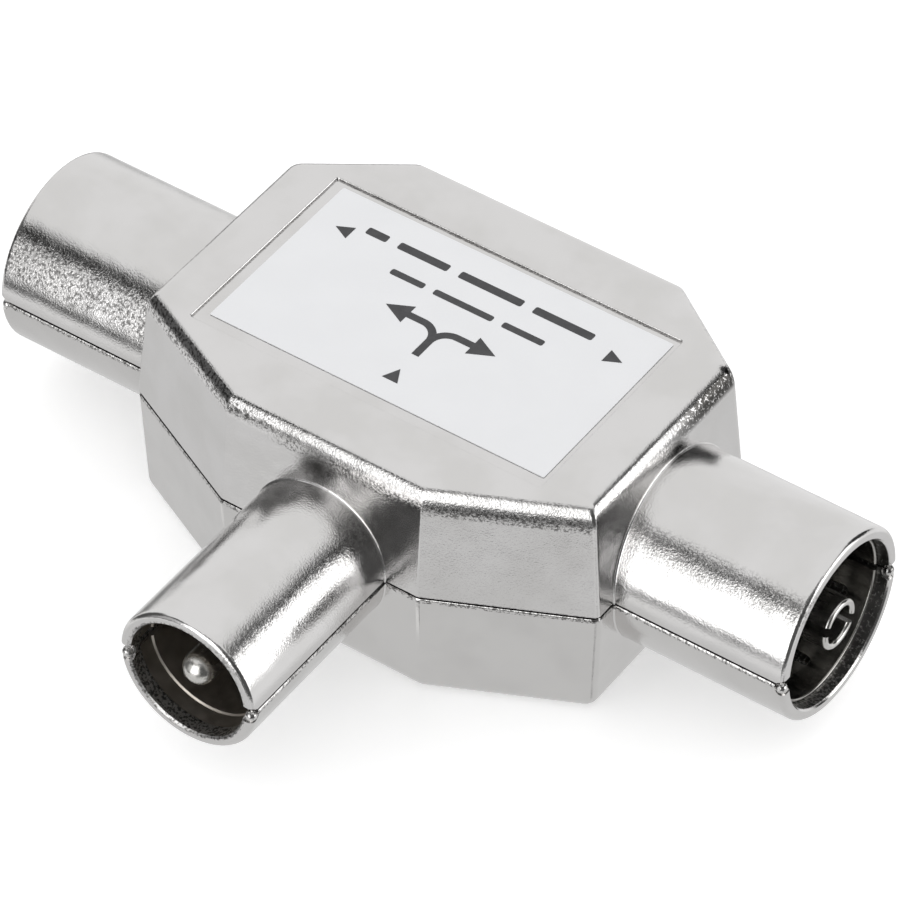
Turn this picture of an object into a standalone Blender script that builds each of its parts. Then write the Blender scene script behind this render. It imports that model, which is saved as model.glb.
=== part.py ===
"""Two-way RF power splitter: a split die-cast housing with a plug port, two socket ports and a board."""

import math

import bmesh
import bpy
from mathutils import Matrix, Vector

MM = 0.001

# Housing: an eight-sided box in two castings that meet at the seam, where the axes of the ports cross
HOUSING_LENGTH = 32.0 * MM
BACK_DEPTH = 11.75 * MM
FRONT_DEPTH = 11.7 * MM
BACK_CORNER_LENGTH = 6.5 * MM
BACK_CORNER_DEPTH = 4.45 * MM
FRONT_CORNER_LENGTH = 9.1 * MM
FRONT_CORNER_DEPTH = 4.35 * MM
UPPER_HEIGHT = 8.2 * MM
LOWER_HEIGHT = 8.2 * MM
SEAM_OUTSET = 0.6 * MM
BASE_OUTSET = 0.3 * MM
TOP_EDGE_RADIUS = 1.2 * MM
BASE_EDGE_RADIUS = 1.3 * MM
UPPER_FRONT_CORNER_RADIUS = 0.35 * MM
UPPER_BACK_CORNER_RADIUS = 0.9 * MM
LOWER_CORNER_RADIUS = 0.7 * MM
WALL = 1.5 * MM
SEAM_GAP = 0.25 * MM
LIP_THICKNESS = 0.6 * MM
LIP_HEIGHT = 0.8 * MM

# Gap between pieces that touch on the real product, and how far a cutter runs past what it cuts
FIT = 0.25 * MM
PAST = 1.0 * MM

# Label and the recess that it is stuck in
RECESS_LENGTH = 24.8 * MM
RECESS_WIDTH = 14.8 * MM
RECESS_DEPTH = 0.5 * MM
RECESS_OFFSET_X = -0.17 * MM
RECESS_OFFSET_Y = -0.11 * MM
LABEL_LENGTH = 23.7 * MM
LABEL_WIDTH = 13.5 * MM
LABEL_THICKNESS = 0.12 * MM
LABEL_OFFSET_X = 0.05 * MM
LABEL_OFFSET_Y = 0.1 * MM

# Ports, measured from the crossing of their axes
OUTPUT_REACH = 28.2 * MM
OUTPUT_RADIUS = 6.15 * MM
OUTPUT_BORE_RADIUS = 5.35 * MM
OUTPUT_HOLE_RADIUS = 4.4 * MM
INPUT_REACH = 25.25 * MM
INPUT_RADIUS = 4.75 * MM
INPUT_MOUTH_RADIUS = 4.0 * MM
INPUT_HOLE_RADIUS = 3.0 * MM
RIM_ROUNDING = 0.35 * MM
RIM_CHAMFER = 0.12 * MM
ROOT_FILLET = 0.35 * MM
LEDGE_THICKNESS = 1.6 * MM
NOTCH_RADIUS = 0.6 * MM
NOTCH_DROP = 0.2 * MM
NUB_RADIUS = 0.36 * MM

# Slotted spring sleeves that line the socket ports
SPRING_SETBACK = 0.85 * MM
SPRING_THICKNESS = 0.25 * MM
SPRING_BOW = 0.3 * MM
SPRING_SLOTS = 13
SLOT_WIDTH = 0.7 * MM
SLOT_START = 2.25 * MM
SPRING_TAIL_RING = 1.2 * MM
SPRING_SLIT = 0.5 * MM

# Split sleeve that lines the plug port
LIP_DEPTH = 1.0 * MM
SLEEVE_THICKNESS = 0.15 * MM
SLEEVE_STEP_AT = 1.0 * MM
SLEEVE_STEP = 0.1 * MM
SLEEVE_SLIT = 0.7 * MM

# Insulators, each with a flange on the ledge and a neck through the wall
INSULATOR_FLANGE = 2.2 * MM
NECK_PROUD = 0.2 * MM
STEM_RADIUS = 0.9 * MM

# Socket contacts and the plug's pin
CONTACT_RADIUS = 1.65 * MM
CONTACT_BORE_RADIUS = 1.18 * MM
CONTACT_BORE_FLOOR = 1.5 * MM
CONTACT_SLOT_WIDTH = 0.45 * MM
CONTACT_SLOT_FLOOR = 2.5 * MM
CONTACT_SLOT_TURN = -20.0
PIN_RADIUS = 1.05 * MM
PIN_SETBACK = 0.4 * MM
TAIL_RADIUS = 0.45 * MM
TAIL_LENGTH = 3.0 * MM

# Circuit board, clamped between bosses at four locating pins
BOARD_THICKNESS = 1.0 * MM
BOARD_MARGIN = 0.5 * MM
BOSS_RADIUS = 1.5 * MM
BOSS_MARGIN = 0.6 * MM
LOCATING_PIN_RADIUS = 0.75 * MM
LOCATING_PIN_RISE = 4.0 * MM

# Two-hole ferrite cores with their windings
SPLITTING_CORE_LENGTH = 4.4 * MM
SPLITTING_CORE_WIDTH = 6.4 * MM
SPLITTING_CORE_HEIGHT = 3.2 * MM
SPLITTING_CORE_Y = 2.4 * MM
MATCHING_CORE_LENGTH = 3.6 * MM
MATCHING_CORE_WIDTH = 5.4 * MM
MATCHING_CORE_HEIGHT = 2.8 * MM
MATCHING_CORE_Y = -4.2 * MM
CORE_HOLE_RADIUS = 0.66 * MM
WIRE_RADIUS = 0.14 * MM
WIRE_SPREAD = 0.26 * MM
WINDING_TURNS = 2
WIRE_BEND = 0.3 * MM
WIRE_LEAD = 1.2 * MM

# Small parts on the board
RESISTOR_LENGTH = 3.6 * MM
RESISTOR_RADIUS = 0.85 * MM
RESISTOR_WAIST_RADIUS = 0.72 * MM
RESISTOR_CAP_LENGTH = 0.72 * MM
RESISTOR_CAP_SLOPE = 0.3 * MM
RESISTOR_LEAD_RADIUS = 0.25 * MM
RESISTOR_SPAN = 6.4 * MM
PART_SPACING = 0.6 * MM
CAPACITOR_LENGTH = 2.0 * MM
CAPACITOR_WIDTH = 1.25 * MM
CAPACITOR_HEIGHT = 0.9 * MM
CAPACITOR_EDGE = 0.11 * MM
STRAP_WIDTH = 3.0 * MM
STRAP_THICKNESS = 0.25 * MM
STRAP_FOOT = 1.8 * MM
STRAP_RISE = 3.4 * MM
STRAP_FROM_CORNER = 0.45 * MM

# Faces round each turned piece
OUTPUT_STEPS = 48
INPUT_STEPS = 36
SPRING_STEPS = 3 * SPRING_SLOTS
INSULATOR_STEPS = 24
SMALL_STEPS = 20
CORE_STEPS = 16

SEAM_HEIGHT = LOWER_HEIGHT
INPUT_BORE_RADIUS = INPUT_MOUTH_RADIUS + SLEEVE_THICKNESS + FIT
LEDGE_FROM_CENTRE = HOUSING_LENGTH / 2 - WALL + LEDGE_THICKNESS
INPUT_LEDGE_FROM_CENTRE = FRONT_DEPTH - WALL + LEDGE_THICKNESS
BOARD_TOP = SEAM_HEIGHT - TAIL_RADIUS - FIT
BOARD_BOTTOM = BOARD_TOP - BOARD_THICKNESS
BOARD_SEAT = BOARD_BOTTOM - FIT
LOCATING_PIN_TOP = BOARD_SEAT + LOCATING_PIN_RISE


def clear_scene():
    for old in list(bpy.data.objects):
        bpy.data.objects.remove(old, do_unlink=True)


def new_collection(name):
    group = bpy.data.collections.new(name)
    bpy.context.scene.collection.children.link(group)
    return group


def material(name, colour, roughness, metallic):
    """A Principled material with one colour."""
    made = bpy.data.materials.new(name)
    made.use_nodes = True
    shader = made.node_tree.nodes["Principled BSDF"]
    shader.inputs["Base Color"].default_value = (*colour, 1.0)
    shader.inputs["Roughness"].default_value = roughness
    shader.inputs["Metallic"].default_value = metallic
    made.diffuse_color = (*colour, 1.0)
    return made


def add_object(name, mesh, finish=None, parent=None):
    """Links a mesh as a part of the splitter, or as a hidden cutter when it has no finish."""
    made = bpy.data.objects.new(name, mesh)
    if finish:
        mesh.materials.append(finish)
        parts.objects.link(made)
    else:
        cutters.objects.link(made)
        made.hide_render = True
        made.display_type = "WIRE"
    made.parent = parent
    return made


def mesh_from(name, build):
    """A mesh from a bmesh with its normals facing out."""
    mesh = bpy.data.meshes.new(name)
    bmesh.ops.recalc_face_normals(build, faces=build.faces)
    build.to_mesh(mesh)
    build.free()
    return mesh


def shade_round(made, degrees=35):
    made.data.shade_smooth()
    made.data.set_sharp_from_angle(angle=math.radians(degrees))


def boolean(target, operation, other):
    cut = target.modifiers.new(f"{operation.lower()} {other.name}", "BOOLEAN")
    cut.operation = operation
    cut.solver = "EXACT"
    cut.object = other


def join(target, other):
    boolean(target, "UNION", other)


def cut(target, other):
    boolean(target, "DIFFERENCE", other)


def housing_corners():
    """The eight corners of the housing at its top edge, clockwise from the left front."""
    end = HOUSING_LENGTH / 2
    back = end - BACK_CORNER_LENGTH
    front = end - FRONT_CORNER_LENGTH
    back_side = BACK_DEPTH - BACK_CORNER_DEPTH
    front_side = FRONT_CORNER_DEPTH - FRONT_DEPTH
    left = [(-end, front_side), (-end, back_side), (-back, BACK_DEPTH)]
    right = [(back, BACK_DEPTH), (end, back_side), (end, front_side)]
    return [Vector(p) for p in left + right + [(front, -FRONT_DEPTH), (-front, -FRONT_DEPTH)]]


def outward(start, end):
    """The outward normal of a side that runs clockwise."""
    along = (end - start).normalized()
    return Vector((-along.y, along.x))


def outline(outset):
    """The housing's corners with every side moved outwards by the same distance."""
    corners = housing_corners()
    moved = []
    for i, corner in enumerate(corners):
        before = outward(corners[i - 1], corner)
        after = outward(corner, corners[(i + 1) % len(corners)])
        moved.append(corner + (before + after) * outset / (1 + before.dot(after)))
    return moved


def corner_radii(front, back):
    """A radius for each corner of the housing, in the order of its corners."""
    return [front, back, back, back, back, front, front, front]


def rounded(corners, radii, steps=3):
    """The same outline with each corner replaced by an arc of its own radius."""
    points = []
    for i, (corner, radius) in enumerate(zip(corners, radii)):
        before = outward(corners[i - 1], corner)
        after = outward(corner, corners[(i + 1) % len(corners)])
        centre = corner - (before + after) * radius / (1 + before.dot(after))
        for k in range(steps + 1):
            normal = before.slerp(after, k / steps)
            points.append(centre + normal * radius)
    return points


def stacked(name, sections):
    """A closed block through outlines at rising heights."""
    build = bmesh.new()
    first_height, first_outline = sections[0]
    base = build.faces.new([build.verts.new((p.x, p.y, first_height)) for p in first_outline])
    ring = list(base.verts)
    for height, points in sections[1:]:
        above = [build.verts.new((p.x, p.y, height)) for p in points]
        for i, point in enumerate(ring):
            following = (i + 1) % len(ring)
            build.faces.new((point, ring[following], above[following], above[i]))
        ring = above
    build.faces.new(ring)
    return mesh_from(name, build)


def edge_arc(radius, steps=4):
    """Inset and remaining height at points along a rounded edge."""
    for k in range(steps + 1):
        turn = math.radians(90) * k / steps
        yield radius * (1 - math.cos(turn)), radius * (1 - math.sin(turn))


def wall_lean(height, edge_outset, edge_radius):
    """How far a casting's sides lean in over each unit of height away from the seam."""
    return (SEAM_OUTSET - edge_outset) / (height - edge_radius)


def casting_block(name, height, edge_outset, edge_radius, radii, side):
    """A casting's outside: sides that lean in from the seam to a rounded edge, drawn up or down from it."""
    def section(from_seam, outset):
        return SEAM_HEIGHT + side * from_seam, rounded(outline(outset), radii)

    lean = wall_lean(height, edge_outset, edge_radius)
    sections = [section(-PAST, SEAM_OUTSET + lean * PAST)]
    sections += [section(height - left, edge_outset - inset) for inset, left in edge_arc(edge_radius)]
    return stacked(name, sections)


def prism(name, points, low, high):
    return stacked(name, [(low, points), (high, points)])


def box(name, size, centre, finish=None, parent=None):
    build = bmesh.new()
    bmesh.ops.create_cube(build, size=1, matrix=Matrix.Translation(centre) @ Matrix.Diagonal((*size, 1)))
    return add_object(name, mesh_from(name, build), finish, parent)


def cylinder(name, radius, low, high, x, y):
    """An upright hidden cylinder."""
    build = bmesh.new()
    place = Matrix.Translation((x, y, (low + high) / 2))
    bmesh.ops.create_cone(build, cap_ends=True, segments=SMALL_STEPS, radius1=radius, radius2=radius,
                          depth=high - low, matrix=place)
    return add_object(name, mesh_from(name, build))


def turned(name, profile, steps, finish=None, parent=None, closed=False):
    """A piece turned about its own Z axis from points of radius and height, outer side from top to bottom."""
    mesh = bpy.data.meshes.new(name)
    links = [(i, i + 1) for i in range(len(profile) - 1)]
    if closed:
        links.append((len(profile) - 1, 0))
    mesh.from_pydata([(radius, 0, height) for radius, height in profile], links, [])
    made = add_object(name, mesh, finish, parent)
    screw = made.modifiers.new("turn", "SCREW")
    screw.axis = "Z"
    screw.angle = math.radians(360)
    screw.steps = steps
    screw.render_steps = steps
    screw.use_merge_vertices = True
    screw.merge_threshold = 0.00001
    screw.use_smooth_shade = True
    return made


def settle(made):
    """Turns what an object's modifiers make into its own mesh."""
    bpy.context.view_layer.update()
    graph = bpy.context.evaluated_depsgraph_get()
    mesh = bpy.data.meshes.new_from_object(made.evaluated_get(graph))
    made.modifiers.clear()
    made.data = mesh


def port(name, turn):
    """An empty at the crossing of the axes, with its Z axis out of the port and its X axis in the seam."""
    made = bpy.data.objects.new(name, None)
    parts.objects.link(made)
    made.location = (0, 0, SEAM_HEIGHT)
    made.rotation_euler = (math.radians(90), 0, math.radians(turn))
    return made


def barrel_shape(name, place, reach, radius, wall_at, steps, lean):
    """The outside of a port: a barrel with a rounded rim, and a fillet that follows the leaning wall."""
    inner_end = wall_at - WALL
    middle = (wall_at + reach) / 2
    profile = [(0, reach)]
    for inset, left in reversed(list(edge_arc(RIM_ROUNDING, 3))):
        profile.append((radius - inset, reach - left))
    profile.append((radius, wall_at + ROOT_FILLET))
    for k in range(1, 4):
        turn = math.radians(30) * k
        spread = ROOT_FILLET * (1 - math.cos(turn))
        profile.append((radius + spread, wall_at + ROOT_FILLET * (1 - math.sin(turn))))
    profile.append((profile[-1][0], inner_end))
    profile.append((0, inner_end))
    barrel = turned(name, profile, steps, parent=place)
    settle(barrel)
    for point in barrel.data.vertices:
        if point.co.z < middle:
            point.co.z -= lean * point.co.y
    return barrel


def bore_shape(name, place, reach, mouth_radius, radius, ledge_at, hole_radius, steps):
    """The inside of a port: a chamfered mouth, a bore down to the ledge, and a hole on into the housing."""
    chamfered = mouth_radius + RIM_CHAMFER
    inside = ledge_at - LEDGE_THICKNESS - PAST
    profile = [(0, reach + PAST), (chamfered, reach + PAST), (chamfered, reach)]
    profile.append((mouth_radius, reach - RIM_CHAMFER))
    if radius > mouth_radius:
        profile += [(mouth_radius, reach - LIP_DEPTH), (radius, reach - LIP_DEPTH)]
    profile += [(radius, ledge_at), (hole_radius, ledge_at), (hole_radius, inside), (0, inside)]
    return turned(name, profile, steps, parent=place)


def rim_notch(name, place, reach, radius):
    """A round notch across the rim where the castings meet."""
    build = bmesh.new()
    lie_along_x = Matrix.Rotation(math.radians(90), 4, "Y")
    centre = Matrix.Translation((0, -NOTCH_DROP, reach))
    bmesh.ops.create_cone(build, cap_ends=True, segments=SMALL_STEPS, radius1=NOTCH_RADIUS,
                          radius2=NOTCH_RADIUS, depth=2 * (radius + PAST), matrix=centre @ lie_along_x)
    return add_object(name, mesh_from(name, build), parent=place)


def rim_nubs(name, place, reach, radius, bore_radius):
    """The lower casting's two nubs, each standing in the bottom of a notch, level with the rim's face."""
    middle = (radius + bore_radius) / 2
    drop = NOTCH_DROP + NOTCH_RADIUS - NUB_RADIUS
    build = bmesh.new()
    for side in (-1, 1):
        centre = Matrix.Translation((side * middle, -drop, reach - NUB_RADIUS))
        bmesh.ops.create_uvsphere(build, u_segments=8, v_segments=6, radius=NUB_RADIUS, matrix=centre)
    return add_object(name, mesh_from(name, build), parent=place)


def boss_places():
    """Centres of the four bosses, each just inside the middle of a slanting wall of the cavity."""
    corners = outline(-WALL)
    for start, end in ((1, 2), (3, 4), (5, 6), (7, 0)):
        normal = outward(corners[start], corners[end])
        middle = (corners[start] + corners[end]) / 2
        yield middle - normal * (BOSS_RADIUS + BOSS_MARGIN)


def seam_lip(half, side):
    """The lower casting's wall ends in a lip along its inner side, and the upper casting has a step for it."""
    low = SEAM_HEIGHT - PAST
    if side > 0:
        step = prism("lip_step", outline(LIP_THICKNESS + FIT - WALL), low, SEAM_HEIGHT + LIP_HEIGHT + FIT)
        cut(half, add_object("lip_step", step))
    else:
        lip = prism("seam_lip", outline(LIP_THICKNESS - WALL), low, SEAM_HEIGHT + LIP_HEIGHT)
        join(half, add_object("seam_lip", lip))


def housing_half(name, side, height, edge_outset, edge_radius, radii):
    """Half of the box and of every barrel as one hollow casting. Returns it and its inner face's height."""
    block = casting_block(name, height, edge_outset, edge_radius, radii, side)
    half = add_object(name, block, NICKEL)
    lean = side * wall_lean(height, edge_outset, edge_radius)
    for port_name, *shape in barrels:
        join(half, barrel_shape(f"{name}_{port_name}_barrel", *shape, lean))
    span = 3 * OUTPUT_REACH
    other_side = Vector((0, 0, SEAM_HEIGHT + side * (SEAM_GAP - span) / 2))
    cut(half, box(name + "_other_side", (span, span, span), other_side))
    seam_lip(half, side)
    roof = SEAM_HEIGHT + side * (height - WALL)
    past_lip = SEAM_HEIGHT - side * (LIP_HEIGHT + PAST)
    hollow = prism(name + "_cavity", outline(-WALL), min(roof, past_lip), max(roof, past_lip))
    cut(half, add_object(name + "_cavity", hollow))
    for cutter in bores + notches:
        cut(half, cutter)
    return half, roof


def upper_housing():
    radii = corner_radii(UPPER_FRONT_CORNER_RADIUS, UPPER_BACK_CORNER_RADIUS)
    half, roof = housing_half("upper_housing", 1, UPPER_HEIGHT, 0, TOP_EDGE_RADIUS, radii)
    for i, place in enumerate(boss_places(), 1):
        join(half, cylinder(f"upper_boss_{i}", BOSS_RADIUS, BOARD_TOP + FIT, roof + WALL / 2, *place))
        clear = LOCATING_PIN_RADIUS + FIT
        cut(half, cylinder(f"socket_{i}", clear, BOARD_TOP, LOCATING_PIN_TOP + FIT, *place))
    recess = (RECESS_LENGTH, RECESS_WIDTH, 2 * RECESS_DEPTH)
    top_face = Vector((RECESS_OFFSET_X, RECESS_OFFSET_Y, SEAM_HEIGHT + UPPER_HEIGHT))
    cut(half, box("label_recess", recess, top_face))
    shade_round(half)


def lower_housing():
    radii = corner_radii(LOWER_CORNER_RADIUS, LOWER_CORNER_RADIUS)
    half, floor = housing_half("lower_housing", -1, LOWER_HEIGHT, BASE_OUTSET, BASE_EDGE_RADIUS, radii)
    for nub in nubs:
        join(half, nub)
    for i, place in enumerate(boss_places(), 1):
        join(half, cylinder(f"lower_boss_{i}", BOSS_RADIUS, floor - WALL / 2, BOARD_SEAT, *place))
        foot = BOARD_SEAT - PAST
        join(half, cylinder(f"locating_pin_{i}", LOCATING_PIN_RADIUS, foot, LOCATING_PIN_TOP, *place))
    shade_round(half)


def label():
    """A plain sticker, a little off the middle of its recess."""
    low = SEAM_HEIGHT + UPPER_HEIGHT - RECESS_DEPTH + FIT
    centre = (LABEL_OFFSET_X, LABEL_OFFSET_Y, low + LABEL_THICKNESS / 2)
    box("label", (LABEL_LENGTH, LABEL_WIDTH, LABEL_THICKNESS), centre, PAPER)


def slot_shapes(name, place, front, back, radius):
    """Round-ended slots evenly round the spring's wall, leaving out the first place for the slit."""
    build = bmesh.new()
    half = SLOT_WIDTH / 2
    flat = []
    for end, centre in ((1, front - half), (-1, back + half)):
        for degrees in range(0, 181, 45):
            turn = math.radians(degrees)
            flat.append((end * half * math.cos(turn), centre + end * half * math.sin(turn)))
    for k in range(1, SPRING_SLOTS):
        ring = [build.verts.new((across, -radius - PAST, height)) for across, height in flat]
        face = build.faces.new(ring)
        pushed = bmesh.ops.extrude_face_region(build, geom=[face])["geom"]
        moved = [v for v in pushed if isinstance(v, bmesh.types.BMVert)]
        depth = SPRING_BOW + SPRING_THICKNESS + 2 * PAST
        bmesh.ops.translate(build, verts=moved, vec=(0, depth, 0))
        turn = Matrix.Rotation(math.radians(90) + math.tau * k / SPRING_SLOTS, 4, "Z")
        bmesh.ops.transform(build, matrix=turn, verts=list({*ring, *moved}))
    return add_object(name, mesh_from(name, build), parent=place)


def output_spring(side, place, seat):
    """A rolled sleeve of spring sheet: a ring at each end, with bowed leaves between them."""
    front = OUTPUT_REACH - SPRING_SETBACK
    back = seat + FIT
    slot_front = OUTPUT_REACH - SLOT_START
    slot_back = back + SPRING_TAIL_RING
    radius = OUTPUT_BORE_RADIUS - FIT
    stations = [(front, 0.0), (slot_front, 0.0)]
    for share in (0.25, 0.5, 0.75):
        along = slot_front + (slot_back - slot_front) * share
        stations.append((along, SPRING_BOW * math.sin(math.pi * share)))
    stations += [(slot_back, 0.0), (back, 0.0)]
    outer = [(radius - bow, height) for height, bow in stations]
    inner = [(r - SPRING_THICKNESS, height) for r, height in reversed(outer)]
    name = f"{side}_output_spring"
    spring = turned(name, outer + inner, SPRING_STEPS, NICKEL_SHEET, place, closed=True)
    cut(spring, slot_shapes(name + "_slots", place, slot_front, slot_back, radius))
    slit = (2 * radius, SPRING_SLIT, 2 * (front - back))
    cut(spring, box(name + "_slit", slit, Vector((radius, 0, (front + back) / 2)), parent=place))


def input_sleeve(place, seat):
    """A rolled sleeve with a shallow step behind its front edge and an open slit at one side."""
    front = INPUT_REACH - LIP_DEPTH - FIT
    back = seat + FIT
    radius = INPUT_BORE_RADIUS - FIT
    inner = radius - SLEEVE_THICKNESS
    step = front - SLEEVE_STEP_AT
    profile = [(radius, front), (radius, back), (inner - SLEEVE_STEP, back)]
    profile += [(inner - SLEEVE_STEP, step - SLEEVE_STEP), (inner, step), (inner, front)]
    sleeve = turned("input_sleeve", profile, INPUT_STEPS, NICKEL_SHEET, place, closed=True)
    slit = (2 * radius, SLEEVE_SLIT, 2 * (front - back))
    cut(sleeve, box("input_sleeve_slit", slit, Vector((-radius, 0, (front + back) / 2)), parent=place))


def insulator(name, place, ledge_at, bore_radius, hole_radius):
    """A moulded disc that rests on the ledge, with a neck through the wall. Returns where its face lies."""
    seat = ledge_at + FIT
    face = seat + INSULATOR_FLANGE
    neck_end = ledge_at - LEDGE_THICKNESS - NECK_PROUD
    flange = bore_radius - FIT
    neck = hole_radius - FIT
    hole = STEM_RADIUS + FIT
    profile = [(flange, face), (flange, seat), (neck, seat), (neck, neck_end)]
    profile += [(hole, neck_end), (hole, face)]
    turned(name, profile, INSULATOR_STEPS, BLACK_PLASTIC, place, closed=True)
    return face


def stem_profile(face, neck_end, body_radius):
    """A contact below its shoulder: a stem through the insulator and a thin tail over the board."""
    tail_start = neck_end - FIT
    return [(body_radius, face + FIT), (STEM_RADIUS, face + FIT), (STEM_RADIUS, tail_start),
            (TAIL_RADIUS, tail_start), (TAIL_RADIUS, tail_start - TAIL_LENGTH), (0, tail_start - TAIL_LENGTH)]


def output_contact(side, place, face):
    """A turned socket contact with its mouth slotted into two leaves."""
    front = OUTPUT_REACH
    floor = face + FIT + CONTACT_BORE_FLOOR
    rounding = (CONTACT_RADIUS - CONTACT_BORE_RADIUS) / 4
    neck_end = LEDGE_FROM_CENTRE - LEDGE_THICKNESS - NECK_PROUD
    profile = [(0, floor), (CONTACT_BORE_RADIUS, floor), (CONTACT_BORE_RADIUS, front - rounding)]
    profile += [(CONTACT_BORE_RADIUS + rounding, front), (CONTACT_RADIUS - rounding, front)]
    profile += [(CONTACT_RADIUS, front - rounding)] + stem_profile(face, neck_end, CONTACT_RADIUS)
    name = f"{side}_output_contact"
    contact = turned(name, profile, SMALL_STEPS, NICKEL_SHEET, place)
    slot = (2 * (CONTACT_RADIUS + PAST), CONTACT_SLOT_WIDTH, 2 * (front - floor - CONTACT_SLOT_FLOOR))
    slot_tool = box(name + "_slot", slot, Vector((0, 0, front)), parent=place)
    slot_tool.rotation_euler = (0, 0, math.radians(CONTACT_SLOT_TURN))
    cut(contact, slot_tool)


def input_pin(place, face):
    """A turned pin with a domed tip, a shoulder at the insulator and a tail over the board."""
    tip = INPUT_REACH - PIN_SETBACK
    neck_end = INPUT_LEDGE_FROM_CENTRE - LEDGE_THICKNESS - NECK_PROUD
    profile = []
    for inset, left in reversed(list(edge_arc(PIN_RADIUS, 6))):
        profile.append((PIN_RADIUS - inset, tip - left))
    turned("input_pin", profile + stem_profile(face, neck_end, PIN_RADIUS), SMALL_STEPS, BRASS, place)


def circuit_board():
    """A board cut to the housing's outline, notched round the locating pins."""
    points = outline(-WALL - BOARD_MARGIN)
    board = add_object("circuit_board", prism("circuit_board", points, BOARD_BOTTOM, BOARD_TOP), LAMINATE)
    for i, place in enumerate(boss_places(), 1):
        clear = LOCATING_PIN_RADIUS + FIT
        cut(board, cylinder(f"board_notch_{i}", clear, BOARD_BOTTOM - PAST, BOARD_TOP + PAST, *place))


def core_outline(width, height, hole_spacing):
    """A flat curve of the two-hole core's face: round ends and two holes."""
    shape = bpy.data.curves.new("core_face", "CURVE")
    shape.dimensions = "2D"
    shape.fill_mode = "BOTH"
    half = height / 2
    straight = width / 2 - half
    outer = []
    for side in (1, -1):
        for step in range(CORE_STEPS // 2 + 1):
            turn = math.radians(90) - math.tau * step / CORE_STEPS
            outer.append((side * (straight + half * math.cos(turn)), side * half * math.sin(turn)))
    loops = [outer]
    for side in (-1, 1):
        ring = [math.tau * step / CORE_STEPS for step in range(CORE_STEPS)]
        middle = side * hole_spacing / 2
        loops.append([(middle + CORE_HOLE_RADIUS * math.cos(turn), CORE_HOLE_RADIUS * math.sin(turn))
                      for turn in ring])
    for loop in loops:
        spline = shape.splines.new("POLY")
        spline.points.add(len(loop) - 1)
        spline.use_cyclic_u = True
        for point, (x, y) in zip(spline.points, loop):
            point.co = (x, y, 0, 1)
    return shape


def ferrite_core(name, length, width, height, y):
    """A two-hole core lying on the board, with its holes along Y. Returns the holes' spacing and height."""
    spacing = width - height
    shape = core_outline(width, height, spacing)
    shape.extrude = length / 2
    core = bpy.data.objects.new(name, shape)
    parts.objects.link(core)
    shape.materials.append(FERRITE)
    axis_height = BOARD_TOP + FIT + height / 2
    core.location = (0, y, axis_height)
    core.rotation_euler = (math.radians(90), 0, 0)
    return spacing, axis_height


def crossing_reach(length, turn):
    """How far from the middle of the core the wire crosses from hole to hole on this turn."""
    return length / 2 + (turn + 1) * (2 * WIRE_RADIUS + FIT)


def winding(name, length, y, spacing, axis_height):
    """Enamelled wire wound through both holes of a core, with its ends down on the board."""
    pad = BOARD_TOP + FIT + WIRE_RADIUS
    bends = []
    for k in range(WINDING_TURNS):
        place = math.tau * (k / WINDING_TURNS + 0.25)
        across = WIRE_SPREAD * math.cos(place)
        rise = axis_height + WIRE_SPREAD * math.sin(place)
        left = across - spacing / 2
        right = across + spacing / 2
        out = crossing_reach(length, k)
        bends += [(left, y - out, rise), (left, y + out, rise), (right, y + out, rise)]
        bends.append((right, y - crossing_reach(length, k + 1), rise))
    for side in (-1, 1):
        x, end, rise = bends[0] if side < 0 else bends[-1]
        down = x + side * WIRE_LEAD
        foot = [(down, end, rise), (down, end, pad), (down + side * WIRE_LEAD, end, pad)]
        bends = foot[::-1] + bends if side < 0 else bends + foot
    wire = wire_curve(name, cut_corners([Vector(bend) for bend in bends]), WIRE_RADIUS)
    wire.data.materials.append(COPPER)
    parts.objects.link(wire)


def cut_corners(bends):
    """A route with each bend replaced by two points beside it."""
    points = [bends[0]]
    for before, at, after in zip(bends, bends[1:], bends[2:]):
        points.append(at + (before - at).normalized() * WIRE_BEND)
        points.append(at + (after - at).normalized() * WIRE_BEND)
    return points + [bends[-1]]


def wire_curve(name, points, radius):
    shape = bpy.data.curves.new(name, "CURVE")
    shape.dimensions = "3D"
    shape.bevel_depth = radius
    shape.bevel_resolution = 1
    shape.use_fill_caps = True
    spline = shape.splines.new("POLY")
    spline.points.add(len(points) - 1)
    for point, place in zip(spline.points, points):
        point.co = (*place, 1)
    return bpy.data.objects.new(name, shape)


def as_mesh(curve):
    """The curve's tube as a mesh with its caps joined, so that it can be used in a Boolean."""
    cutters.objects.link(curve)
    bpy.context.view_layer.update()
    graph = bpy.context.evaluated_depsgraph_get()
    mesh = bpy.data.meshes.new_from_object(curve.evaluated_get(graph))
    build = bmesh.new()
    build.from_mesh(mesh)
    bmesh.ops.remove_doubles(build, verts=build.verts, dist=0.000001)
    build.to_mesh(mesh)
    build.free()
    name = curve.name
    bpy.data.objects.remove(curve, do_unlink=True)
    return add_object(name, mesh)


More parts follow.
